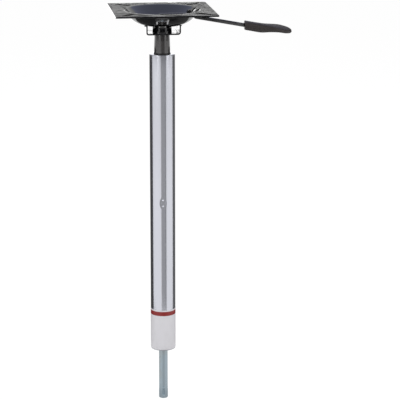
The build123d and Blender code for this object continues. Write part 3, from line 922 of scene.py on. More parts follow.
@dataclass
class PressedSheet:
    """Sheet metal as a flat cut-out that a rule brings into shape.

    The rule gives a point on the sheet's top face and the normal there; both are in millimetres.
    Fill points keep the clearance from every border. The probe is the step that shows which way
    an edge faces, and points closer than the nearness are one point.
    """

    name: str
    outline: Profile
    holes: list[Profile]
    fill: Profile
    shape: Callable[[float, float], tuple[Vector, Vector]]
    thickness: float
    edge: float = 0.35
    clearance: float = 0.5
    probe: float = 0.05
    nearness: float = 1e-7

    def build(self) -> Piece:
        """Returns the sheet as a closed mesh with rounded edges and exact normals."""
        loops = [(self.outline, 1.0)] + [(hole, -1.0) for hole in self.holes]
        borders = [self.border(points, side) for points, side in loops]
        inner = [[p - n * self.edge for p, n in zip(*border)] for border in borders]
        keep = self.interior(inner)
        flat = [p for loop in inner for p in loop] + keep
        edges = []
        start = 0
        for loop in inner:
            edges += [(start + i, start + (i + 1) % len(loop)) for i in range(len(loop))]
            start += len(loop)
        spots, _, faces, origins, _, _ = delaunay_2d_cdt(flat, edges, [], 0, self.nearness)
        where = {source: index for index, sources in enumerate(origins) for source in sources}
        faces = self.inside(spots, faces, inner)
        points: list[Vector] = []
        normals: list[Vector] = []
        for spot in spots:
            top, up = self.shape(spot.x, spot.y)
            points.append(top)
            normals.append(up)
        count = len(points)
        for index in range(count):
            points.append(points[index] - normals[index] * self.thickness)
            normals.append(-normals[index])
        mesh_faces = [tuple(face) for face in faces]
        mesh_faces += [tuple(count + i for i in reversed(face)) for face in faces]
        start = 0
        for border, loop in zip(borders, inner):
            rims = self.rims(border, points, normals)
            ring = [where[start + i] for i in range(len(loop))]
            layers = [ring] + rims + [[count + i for i in ring]]
            for upper, lower in zip(layers, layers[1:]):
                for i in range(len(ring)):
                    j = (i + 1) % len(ring)
                    mesh_faces.append((upper[i], lower[i], lower[j], upper[j]))
            start += len(loop)
        return self.finished(points, normals, mesh_faces)

    def border(self, points: Profile, side: float) -> Border:
        """Gives a loop's points and their directions away from the sheet.

        Args:
            points: The loop.
            side: 1 for the outline and -1 for a hole.

        Returns:
            The points and unit directions, anticlockwise.
        """
        area = sum(a[0] * b[1] - b[0] * a[1] for a, b in zip(points, points[1:] + points[:1]))
        spots = [Vector(p) for p in (points if area > 0 else points[::-1])]
        away = []
        for index, spot in enumerate(spots):
            run = spots[(index + 1) % len(spots)] - spots[index - 1]
            away.append(Vector((run.y, -run.x)).normalized() * side)
        return spots, away

    def interior(self, loops: list[list[Vector]]) -> list[Vector]:
        """Returns the fill points that lie on the sheet, clear of its borders."""
        points = np.array(self.fill)
        keep = self.covered(points, loops)
        for loop in loops:
            spots = np.array([tuple(p) for p in loop])
            gap = np.sqrt(((points[:, None, :] - spots[None, :, :]) ** 2).sum(2)).min(1)
            keep &= gap > self.clearance
        return [Vector(p) for p in points[keep]]

    def inside(self, spots: list[Vector], faces: Any, loops: list[list[Vector]]) -> list[list[int]]:
        """Returns the triangles that lie on the sheet, all anticlockwise."""
        flat = np.array([tuple(p) for p in spots])
        corners = np.array([list(face) for face in faces])
        middles = flat[corners].mean(1)
        corners = corners[self.covered(middles, loops)]
        a, b, c = (flat[corners[:, i]] for i in range(3))
        twice = (b[:, 0] - a[:, 0]) * (c[:, 1] - a[:, 1]) - (b[:, 1] - a[:, 1]) * (c[:, 0] - a[:, 0])
        return [list(map(int, face if area > 0 else face[::-1])) for face, area in zip(corners, twice)]

    def covered(self, points: np.ndarray, loops: list[list[Vector]]) -> np.ndarray:
        """Says which points lie within the outline and in no hole."""
        result = self.within(points, loops[0])
        for loop in loops[1:]:
            result &= ~self.within(points, loop)
        return result

    @staticmethod
    def within(points: np.ndarray, loop: list[Vector]) -> np.ndarray:
        """Says which points lie within a loop, by counting crossings."""
        inside = np.zeros(len(points), bool)
        for index, end in enumerate(loop):
            start = loop[index - 1]
            if start.y == end.y:
                continue
            crosses = (start.y > points[:, 1]) != (end.y > points[:, 1])
            at = start.x + (points[:, 1] - start.y) / (end.y - start.y) * (end.x - start.x)
            inside ^= crosses & (points[:, 0] < at)
        return inside

    def rims(self, border: Border, points: list[Vector], normals: list[Vector]) -> list[list[int]]:
        """Adds the rounded edge's points between the top and the underside.

        Args:
            border: The loop's points and directions.
            points: The mesh's points so far, added to.
            normals: The mesh's normals so far, added to.

        Returns:
            The point numbers of each layer, from the top down.
        """
        layers: list[list[int]] = []
        upper, lower = self.edge, self.thickness - self.edge
        for angle, middle in ((60, upper), (30, upper), (0, upper), (0, lower), (-30, lower), (-60, lower)):
            turn = math.radians(angle)
            inset = self.edge * (1 - math.cos(turn))
            down = middle - self.edge * math.sin(turn)
            layer = []
            for spot, away in zip(*border):
                at = spot - away * inset
                top, up = self.shape(at.x, at.y)
                step = at + away * self.probe
                out = (self.shape(step.x, step.y)[0] - top).normalized()
                layer.append(len(points))
                points.append(top - up * down)
                normals.append((out * math.cos(turn) + up * math.sin(turn)).normalized())
            layers.append(layer)
        return layers

    def finished(self, points: list[Vector], normals: list[Vector], faces: list[tuple[int, ...]]) -> Piece:
        """Returns the mesh object with its exact normals."""
        piece = mesh_object(self.name, points, faces)
        piece.data.shade_smooth()
        piece.data.normals_split_custom_set_from_vertices([tuple(n) for n in normals])
        return piece


# Post


@dataclass
class Post:
    """Aluminium tube with its stakes, wrap and deck pin, in millimetres."""

    trees: Trees
    length: float = highest("post_tube")
    radius: float = highest("post_tube", X)
    wall: float = 2.5
    end_round: float = 1.4
    top_hole: float = 15.2
    bottom_hole: float = 16.0
    stake_z: float = (lowest("base_disc") + highest("base_disc")) / 2
    stake_azimuth: float = -95.0
    stake_count: int = 3
    punch_offset: float = 5.3
    punch_radius: float = 0.85
    punch_face: float = 20.8
    wrap_low: float = lowest("wrap_label")
    wrap_high: float = highest("wrap_label")
    wrap_gap: float = 0.02
    wrap_thickness: float = 0.2
    overlap_z: float = 40.7
    overlap_azimuth: float = 88.0
    overlap_face: float = 0.05
    pin_radius: float = 8.0
    pin_length: float = -lowest("deck_pin")
    pin_top: float = highest("deck_pin")
    groove_z: float = -86.1
    dimple_z: float = -76.2
    pin_azimuth: float = -95.0
    pin_face: float = 6.0
    tip_radius: float = 8.24
    tip_length: float = 16.0
    tip_chamfer: float = 1.1
    core_radius: float = 9.0
    head_radius: float = highest("deck_pin", X)
    head_height: float = 4.0

    def build(self) -> None:
        """Builds the post's pieces."""
        self.tube()
        self.wrap()
        self.pin()

    def tube(self) -> None:
        """Builds the tube: rolled ends, three oval stakes and two punch marks in each."""
        bore, top = self.radius - self.wall, self.length
        outline = rounded([
            (self.top_hole, top - self.wall, 0.4),
            (self.top_hole, top, 0.5),
            (self.radius, top, self.end_round),
            (self.radius, 0.0, self.end_round),
            (self.bottom_hole, 0.0, 0.5),
            (self.bottom_hole, self.wall, 0.4),
            (bore, self.wall, 1.0),
            (bore, top - self.wall, 1.0),
        ], 8)
        points = with_rows(outline, [self.stake_z + 0.5 * i for i in range(-26, 27)])
        piece = self.trees.turned("post_tube_satin", points, 320, ALUMINIUM)
        stake = Dent(self.stake_z, half_width=4.9, half_height=8.25, depth=0.8, edge=0.34, squareness=2.3,
                     azimuth=self.stake_azimuth, count=self.stake_count)
        self.trees.press(piece, stake, ALUMINIUM)
        for side in (-1, 1):
            height = self.stake_z + side * self.punch_offset
            mark = Dent(height, self.punch_radius, self.punch_radius, depth=1.1, edge=0.9,
                        least_radius=self.punch_face, azimuth=self.stake_azimuth, count=self.stake_count)
            self.trees.press(piece, mark, ALUMINIUM)
        smooth(piece, 32.0)
        hand_over(piece, Body.POST, ALUMINIUM, ["post_tube"])

    def wrap(self) -> None:
        """Builds the vinyl wrap, with its overlap at the back."""
        inner = self.radius + self.wrap_gap
        outer = inner + self.wrap_thickness
        low, high = self.wrap_low, self.wrap_high
        profile = rounded([
            (inner, low, 0.0),
            (outer, low, 0.08),
            (outer, high, 0.08),
            (inner, high, 0.0),
        ], 2)
        piece = self.trees.turned("wrap_film", resampled(profile, 8.0), 192, VINYL)
        overlap = Dent(self.overlap_z, half_width=4.0, half_height=60.0, depth=-0.18, edge=0.06,
                       squareness=8.0, least_radius=outer - self.overlap_face, azimuth=self.overlap_azimuth)
        self.trees.press(piece, overlap, VINYL)
        smooth(piece, 50.0)
        hand_over(piece, Body.POST, VINYL, ["wrap_label"])

    def pin(self) -> None:
        """Builds the deck pin: shank, larger tip with its key groove, and the dimple above it."""
        low, top = -self.pin_length, self.pin_top
        tip_top = self.tip_length - self.pin_length
        head_low = top - self.head_height
        outline = rounded([
            (0.0, low, 0.0),
            (self.tip_radius - self.tip_chamfer, low, 0.3),
            (self.tip_radius, self.tip_chamfer - self.pin_length, 0.3),
            (self.tip_radius, tip_top, 0.2),
            (self.pin_radius, tip_top, 0.02),
            (self.pin_radius, 0.0, 0.0),
            (self.core_radius, 0.0, 0.0),
            (self.core_radius, head_low, 0.0),
            (self.head_radius, head_low, 0.3),
            (self.head_radius, top, 0.3),
            (0.0, top, 0.0),
        ], 4)
        points = with_rows(outline, [low + 1.5 + 0.35 * i for i in range(75)])
        piece = self.trees.turned("deck_pin_plated", points, 144, ZINC)
        groove = Dent(self.groove_z, half_width=1.4, half_height=5.7, depth=2.2, edge=0.22, squareness=4.0,
                      least_radius=self.pin_face, azimuth=self.pin_azimuth)
        dimple = Dent(self.dimple_z, half_width=1.2, half_height=1.2, depth=1.6, edge=0.5,
                      least_radius=self.pin_face, azimuth=self.pin_azimuth)
        for dent in (groove, dimple):
            self.trees.press(piece, dent, ZINC)
        smooth(piece, 35.0)
        hand_over(piece, Body.POST, ZINC, ["deck_pin"])


# Gas cylinder


@dataclass
class GasCylinder:
    """Black outer cylinder with its taper, and the valve button, in millimetres."""

    trees: Trees
    radius: float = highest("gas_cylinder", X)
    bottom: float = lowest("gas_cylinder")
    top: float = highest("gas_cylinder")
    taper_length: float = 34.0
    taper_radius: float = 12.9
    bore: float = 12.5
    foot_bore: float = 8.0
    foot_height: float = 2.0
    neck_bore: float = 9.0
    neck_length: float = 36.0
    mouth: float = 4.5
    mouth_depth: float = 1.5
    button_radius: float = 2.5
    button_foot: float = highest("valve_pin", X)
    button_foot_height: float = 2.0
    button_top: float = highest("valve_pin")
    button_bottom: float = lowest("valve_pin")

    def build(self) -> None:
        """Builds the cylinder and its button."""
        knee, neck_low = self.top - self.taper_length, self.top - self.neck_length
        foot_top, mouth_low = self.bottom + self.foot_height, self.top - self.mouth_depth
        points = rounded([
            (self.mouth, self.top, 0.3),
            (self.taper_radius, self.top, 0.9),
            (self.radius, knee, 30.0),
            (self.radius, self.bottom, 1.2),
            (self.foot_bore, self.bottom, 0.3),
            (self.foot_bore, foot_top, 0.2),
            (self.bore, foot_top, 0.4),
            (self.bore, neck_low, 0.4),
            (self.neck_bore, neck_low, 0.3),
            (self.neck_bore, mouth_low, 0.3),
            (self.mouth, mouth_low, 0.2),
        ])
        piece = self.trees.turned("gas_cylinder_satin", points, 160, CYLINDER_BLACK)
        smooth(piece)
        hand_over(piece, Body.CARRIAGE, CYLINDER_BLACK, ["gas_cylinder"])
        foot_top = self.button_bottom + self.button_foot_height
        points = rounded([
            (0.0, self.button_bottom, 0.0),
            (self.button_foot, self.button_bottom, 0.2),
            (self.button_foot, foot_top, 0.2),
            (self.button_radius, foot_top, 0.1),
            (self.button_radius, self.button_top, 0.6),
            (0.0, self.button_top, 0.0),
        ])
        button = self.trees.turned("valve_button_plated", points, 64, ZINC)
        smooth(button)
        hand_over(button, Body.VALVE, ZINC, ["valve_pin"])


# Seat mount


@dataclass
class Dish:
    """The dish's curve: flat floor, round, straight wall and rounded rim, in millimetres."""

    top: float = highest("seat_plate")
    rim_radius: float = 68.5
    rim_round: float = 5.0
    depth: float = 25.0
    floor_radius: float = 24.0
    floor_round: float = 42.4

    @property
    def floor(self) -> float:
        """Height of the dish's floor."""
        return self.top - self.depth

    @property
    def slope(self) -> float:
        """Slope of the straight wall, in radians."""
        across = self.rim_radius - self.floor_radius
        up = self.top - self.rim_round - self.floor - self.floor_round
        radii = self.floor_round + self.rim_round
        straight = math.sqrt(math.hypot(across, up) ** 2 - radii ** 2)
        return math.atan2(up, across) + math.atan2(radii, straight)

    def section(self, radius: float) -> tuple[float, float]:
        """Height and slope of the top face.

        Args:
            radius: Distance from the axis.

        Returns:
            The height, and the slope in radians.
        """
        arc_end = self.floor_radius + self.floor_round * math.sin(self.slope)
        wall_end = self.rim_radius - self.rim_round * math.sin(self.slope)
        if radius <= self.floor_radius:
            return self.floor, 0.0
        if radius <= arc_end:
            tilt = math.asin((radius - self.floor_radius) / self.floor_round)
            return self.floor + self.floor_round * (1 - math.cos(tilt)), tilt
        if radius <= wall_end:
            start = self.floor + self.floor_round * (1 - math.cos(self.slope))
            return start + (radius - arc_end) * math.tan(self.slope), self.slope
        if radius <= self.rim_radius:
            tilt = math.asin((self.rim_radius - radius) / self.rim_round)
            return self.top - self.rim_round * (1 - math.cos(tilt)), tilt
        return self.top, 0.0

    def surface(self, x: float, y: float) -> tuple[Vector, Vector]:
        """Point and normal of the top face over a point in plan."""
        radius = math.hypot(x, y)
        height, tilt = self.section(radius)
        spoke = Vector((x, y, 0.0)) / max(radius, 1e-9)
        return Vector((x, y, height)), Vector((0, 0, 1)) * math.cos(tilt) - spoke * math.sin(tilt)

    def under(self, x: float, y: float, sheet: float) -> float:
        """Height of the round's underside over a point in plan, for a sheet of a thickness."""
        outer = self.floor_round + sheet
        tilt = math.asin((math.hypot(x, y) - self.floor_radius) / outer)
        return self.floor + self.floor_round - outer * math.cos(tilt)

    def radius_at(self, height: float, raised: float = 0.0) -> float:
        """Radius where the face, raised along its normal, passes a height.

        Args:
            height: The height.
            raised: Distance above the face, negative below it.

        Returns:
            The radius.
        """
        low, high = self.floor_radius, self.rim_radius + self.rim_round
        for _ in range(50):
            middle = (low + high) / 2
            z, tilt = self.section(middle)
            low, high = (middle, high) if z + raised * math.cos(tilt) < height else (low, middle)
        _, tilt = self.section(low)
        return low - raised * math.sin(tilt)


@dataclass
class Notch:
    """Waisted notch in the dish's wall, with its turned-in lip, in millimetres."""

    azimuth: float
    dish: Dish
    inner: float = 17.0
    top_depth: float = 9.0
    top_half: float = 10.4
    waist_depth: float = 18.5
    waist_half: float = 7.6
    foot_half: float = 12.2
    corner: float = 3.0
    below_floor: float = 2.0
    floor_clear: float = 0.02
    lip_thickness: float = 3.0
    lip_edge: float = 0.9
    lip_rise: float = 5.0
    lip_proud: float = 3.8
    lip_below_top: float = 0.4

    @property
    def top(self) -> float:
        """Height of the notch's top."""
        return self.dish.top - self.top_depth

    def half_width(self, height: float) -> float:
        """Half width of the notch at a height, on the arc through its waist."""
        waist = self.dish.top - self.waist_depth
        span = self.top - waist
        a = Vector((self.foot_half, -span))
        b = Vector((self.waist_half, 0.0))
        c = Vector((self.top_half, span))
        aa, bb, cc = (spot.length_squared for spot in (a, b, c))
        divisor = 2 * (a.x * (b.y - c.y) + b.x * (c.y - a.y) + c.x * (a.y - b.y))
        x = (aa * (b.y - c.y) + bb * (c.y - a.y) + cc * (a.y - b.y)) / divisor
        y = (aa * (c.x - b.x) + bb * (a.x - c.x) + cc * (b.x - a.x)) / divisor
        radius = (a - Vector((x, y))).length
        off = height - waist - y
        return x - math.sqrt(max(radius ** 2 - off ** 2, 0.0))

    def side(self, steps: int) -> Profile:
        """Half of the outline as half width and height, from low to the middle of the top."""
        low, high = self.dish.floor - self.below_floor, self.top
        shoulder = high - self.corner
        heights = [low + (shoulder - low) * i / steps for i in range(steps + 1)]
        points = [(self.half_width(height), height) for height in heights]
        edge = self.half_width(shoulder)
        for i in range(1, 9):
            turn = math.radians(90 * i / 8)
            inward = self.corner * (1 - math.cos(turn))
            points.append((edge - inward, shoulder + self.corner * math.sin(turn)))
        span = points[-1][0]
        return points + [(span * (1 - i / 6), high) for i in range(1, 7)]

    def plan(self) -> Profile:
        """The notch's outline in plan, turned to its azimuth."""
        right: Profile = []
        for half, height in self.side(30):
            if height <= self.dish.floor + self.floor_clear:
                continue
            radius = self.dish.radius_at(height)
            right.append((half, -math.sqrt(radius ** 2 - half ** 2)))
        start = right[0]
        half = self.half_width(self.dish.floor)
        reach = math.sqrt(self.inner ** 2 - half ** 2)
        side = [(half, -reach - (abs(start[1]) - reach) * i / 6) for i in range(6)]
        wing = math.asin(half / self.inner)
        turns = [wing * i / 8 for i in range(-7, 8)]
        arc = [(self.inner * math.sin(turn), -self.inner * math.cos(turn)) for turn in turns]
        left = [(-x, y) for x, y in (side + right)[-2::-1]]
        return turned_by(arc + side + right + left, self.azimuth)

    def lip(self, name: str) -> Piece:
        """Builds the lip that follows the notch's edge.

        Args:
            name: The object's name.

        Returns:
            A closed strip with rounded edges.
        """
        half = [p for p in self.side(24) if p[1] >= self.dish.floor + self.lip_rise]
        path = half + [(-x, z) for x, z in half[-2::-1]]
        last = len(path) - 1
        turns = [math.radians(angle) for angle in (0, 22.5, 45, 67.5, 90)]
        edge = [(self.lip_edge * (1 - math.cos(t)), self.lip_edge * (1 - math.sin(t))) for t in turns]
        edge += [(self.lip_thickness - grow, deep) for grow, deep in reversed(edge)]
        points: list[tuple[float, float, float]] = []
        for index, (u, z) in enumerate(path):
            before, after = path[max(index - 1, 0)], path[min(index + 1, last)]
            run = Vector((after[0] - before[0], after[1] - before[1])).normalized()
            away = Vector((run.y, -run.x))
            ring = [(u + away.x * grow, z + away.y * grow, deep) for grow, deep in edge]
            sides = [(spot, self.lip_rise - spot[2]) for spot in ring]
            sides += [(spot, -self.lip_proud + spot[2]) for spot in reversed(ring)]
            for (x, height, _), raised in sides:
                radius = self.dish.radius_at(min(height, self.dish.top - self.lip_below_top), raised)
                y = -math.sqrt(max(radius ** 2 - x ** 2, 1.0))
                points.append((*turned_by([(x, y)], self.azimuth)[0], height))
        piece = mesh_object(name, points, tube_faces(len(path), 2 * len(edge)))
        smooth(piece, 50.0)
        return piece


def tube_faces(rings: int, around: int) -> list[tuple[int, ...]]:
    """Faces of a closed tube: quads from ring to ring and a cap at each end.

    Args:
        rings: Number of rings.
        around: Points in each ring.

    Returns:
        The faces, as point numbers.
    """
    faces: list[tuple[int, ...]] = []
    for low in range(0, (rings - 1) * around, around):
        high = low + around
        for j in range(around):
            k = (j + 1) % around
            faces.append((low + j, low + k, high + k, high + j))
    last = (rings - 1) * around
    return faces + [tuple(reversed(range(around))), tuple(last + j for j in range(around))]


@dataclass
class SeatMount:
    """Collar, channel bracket and pressed seat plate, in millimetres."""

    trees: Trees
    dish: Dish = field(default_factory=Dish)
    side: float = 2 * highest("seat_plate", X)
    corner: float = 3.0
    sheet: float = 2.6
    floor_hole: float = 13.46
    slot_reach: float = 63.5
    slot_length: float = 34.0
    slot_width: float = 7.6
    notch_azimuth: float = -6.0
    wall_hole: float = 4.6
    wall_hole_azimuth: float = 17.5
    wall_hole_depth: float = 4.2
    window: tuple[float, float, float] = (52.55, 65.0, 11.0)
    window_corner: float = 2.0
    bracket_width: float = 2 * highest("channel_bracket", X)
    bracket_depth: float = 2 * highest("channel_bracket", Y)
    bracket_drop: float = highest("seat_plate") - lowest("channel_bracket")
    bracket_bend: float = 4.5
    bracket_gap: float = 0.05
    bracket_hole: float = 3.2
    bracket_hole_rise: float = 8.6
    bracket_hole_across: float = 11.0
    collar_low: float = lowest("taper_collar")
    collar_high: float = highest("taper_collar")
    collar_radius: float = highest("taper_collar", X)
    collar_clear: float = 0.1
    collar_bore_low: float = 13.6
    collar_bore_high: float = 13.2
    weld_runs: tuple[Point, ...] = ((-20.0, -7.0), (7.0, 20.0))
    weld_off: float = 0.5
    weld_reach: float = 0.6
    weld_pitch: float = 1.1
    weld_size: float = 1.5

    def build(self) -> None:
        """Builds the mount's pieces."""
        self.plate()
        self.bracket()
        self.collar()
        self.welds()

    def slot(self, quarter: int) -> Profile:
        """Outline of one corner slot."""
        radius = self.slot_width / 2
        half = self.slot_length / 2 - radius
        turns = [math.radians(angle) for angle in range(-90, 91, 15)]
        right = [(half + radius * math.cos(turn), radius * math.sin(turn)) for turn in turns]
        left = [(-x, -y) for x, y in right]
        spots = turned_by(right + left, 45)
        moved = [(x + self.slot_reach, y + self.slot_reach) for x, y in spots]
        return resampled(turned_by(moved, 90 * quarter), 2.4)

    def plate(self) -> None:
        """Builds the seat plate with its slots, lipped notch, lever window and wall holes."""
        half = self.side / 2
        ends = [(half, half), (-half, half), (-half, -half), (half, -half)]
        outline = resampled(rounded([(x, y, self.corner) for x, y in ends], 8), 2.6)
        notch = Notch(self.notch_azimuth, self.dish)
        low, high, wide = self.window
        ends = [(low, -wide / 2), (high, -wide / 2), (high, wide / 2), (low, wide / 2)]
        window = resampled(rounded([(x, y, self.window_corner) for x, y in ends]), 1.2)
        height = self.dish.top - self.wall_hole_depth
        reach = self.dish.radius_at(height)
        flat = self.wall_hole * math.cos(self.dish.slope)
        hole = circle(reach, 0.0, flat, 28, self.wall_hole)
        holes = [circle(0.0, 0.0, self.floor_hole, 96), window]
        holes += [turned_by(hole, self.wall_hole_azimuth), turned_by(hole, -self.wall_hole_azimuth)]
        holes += [self.slot(quarter) for quarter in range(4)]
        holes.append(notch.plan())
        fill = self.plate_fill()
        sheet = PressedSheet("seat_plate_pressed", outline, holes, fill, self.dish.surface, self.sheet)
        hand_over(sheet.build(), Body.CARRIAGE, GLOSS_BLACK, ["seat_plate"])
        # The lip's finish paints a grey highlight on its lower part, standing in for the glint of light on
        # the rolled edge
        hand_over(notch.lip("notch_lip"), Body.CARRIAGE, BLACK_WITH_PAINTED_HIGHLIGHT)

    def plate_fill(self) -> Profile:
        """Points inside the plate: rings that are close together where it bends."""
        dish = self.dish
        wall = [56.5, 58.8, 61.0, 63.0, 64.4]
        by_rim = [69.0, 70.0]
        radii = [14.5, 17.0, 19.5, 22.0, dish.floor_radius]
        bends = [math.sin(dish.slope * i / 20) for i in range(1, 21)]
        radii += [dish.floor_radius + dish.floor_round * bend for bend in bends]
        radii += wall
        radii += [dish.rim_radius - dish.rim_round * math.sin(dish.slope * i / 10) for i in range(10)]
        radii += by_rim + [72.0 + 3.0 * i for i in range(19)]
        points: Profile = []
        for index, radius in enumerate(radii):
            on_rim = wall[-1] < radius <= by_rim[-1]
            count = 60 if radius < dish.floor_radius else 360 if on_rim else 180
            shift = 0.5 * (index % 2)
            for step in range(count):
                turn = 2 * math.pi * (step + shift) / count
                points.append((radius * math.cos(turn), radius * math.sin(turn)))
        return points

    def folded(self, s: float, y: float) -> tuple[Vector, Vector]:
        """Point and normal of the bracket's inner face, along its fold and across.

        Args:
            s: Distance along the fold from the middle of the floor.
            y: Distance across.

        Returns:
            The point and the normal.
        """
        bend = self.bracket_bend - self.sheet
        flat = self.bracket_width / 2 - self.bracket_bend
        low = self.dish.top - self.bracket_drop + self.sheet
        side = math.copysign(1.0, s)
        run = abs(s)
        if run <= flat:
            return Vector((s, y, low)), Vector((0, 0, 1))
        turn = min((run - flat) / bend, math.pi / 2)
        x = flat + bend * math.sin(turn)
        z = low + bend * (1 - math.cos(turn))
        z += max(0.0, run - flat - bend * math.pi / 2)
        return Vector((side * x, y, z)), Vector((-side * math.sin(turn), 0, math.cos(turn)))

    def bracket(self) -> None:
        """Builds the folded channel, its walls cut to the dish's underside."""
        bend = self.bracket_bend - self.sheet
        flat = self.bracket_width / 2 - self.bracket_bend
        base = flat + bend * math.pi / 2
        bottom = self.dish.top - self.bracket_drop
        low = bottom + self.sheet + bend
        half = self.bracket_depth / 2

        def reach(y: float) -> float:
            """Length of the fold up to the dish's underside."""
            return base + self.dish.under(self.bracket_width / 2, y, self.sheet) - low - self.bracket_gap

        steps = [half - 2 * half * i / 24 for i in range(25)]
        right = [(reach(y), -y) for y in steps]
        left = [(-reach(y), y) for y in steps]
        outline = resampled(right + left, 1.6)
        up = base + bottom + self.bracket_hole_rise - low
        holes = [circle(0.0, 0.0, self.collar_radius + self.collar_clear, 72)]
        holes += [circle(side * up, self.bracket_hole_across, self.bracket_hole, 28) for side in (1, -1)]
        rows = [flat * i / 12 for i in range(13)]
        rows += [flat + bend * math.pi / 2 * i / 6 for i in range(1, 7)]
        rows += [base + 1.5 * i for i in range(1, 12)]
        inset = 1.5
        across = [-half + inset + (self.bracket_depth - 2 * inset) * i / 26 for i in range(27)]
        fill = sorted({(side * s, y) for s in rows for side in (-1, 1) for y in across})
        sheet = PressedSheet("channel_bracket_folded", outline, holes, fill, self.folded, self.sheet,
                             clearance=0.6)
        hand_over(sheet.build(), Body.CARRIAGE, GLOSS_BLACK, ["channel_bracket"])

    def collar(self) -> None:
        """Builds the collar that grips the cylinder's taper."""
        points = rounded([
            (self.collar_radius, self.collar_low, 0.8),
            (self.collar_radius, self.collar_high, 0.8),
            (self.collar_bore_high, self.collar_high, 0.4),
            (self.collar_bore_low, self.collar_low, 0.4),
        ])
        piece = self.trees.turned("taper_collar_black", points, 128, GLOSS_BLACK)
        smooth(piece)
        hand_over(piece, Body.CARRIAGE, GLOSS_BLACK, ["taper_collar"])

    def welds(self) -> None:
        """Lays short weld beads where the bracket's walls meet the dish."""
        wall, off = self.bracket_width / 2, self.weld_off
        chains = []
        for side in (-1, 1):
            for start, end in self.weld_runs:
                places = [start + (end - start) * i / 13 for i in range(14)]
                heights = [self.dish.under(wall + self.weld_reach, y, self.sheet) - off for y in places]
                chains.append([(side * (wall + off), y, z) for y, z in zip(places, heights)])
        pieces = []
        for index, chain in enumerate(chains):
            bead = chain_object(f"weld_{index}", chain)
            run_tree(bead, self.trees.beads, spacing=self.weld_pitch * MM, size=self.weld_size * MM,
                     seed=index + 3, material=GLOSS_BLACK.material())
            pieces.append(bead)
        joined = join("weld_beads", pieces)
        joined.data.shade_smooth()
        hand_over(joined, Body.CARRIAGE, GLOSS_BLACK)


def join(name: str, pieces: Sequence[Piece]) -> Piece:
    """Joins pieces into one.

    Args:
        name: The joined piece's name.
        pieces: The pieces, which are removed.

    Returns:
        The joined piece.
    """
    work = bmesh.new()
    for piece in pieces:
        work.from_mesh(piece.data)
        bpy.data.objects.remove(piece)
    mesh = bpy.data.meshes.new(name)
    work.to_mesh(mesh)
    work.free()
    made = bpy.data.objects.new(name, mesh)
    bpy.context.scene.collection.objects.link(made)
    return made


# Lever


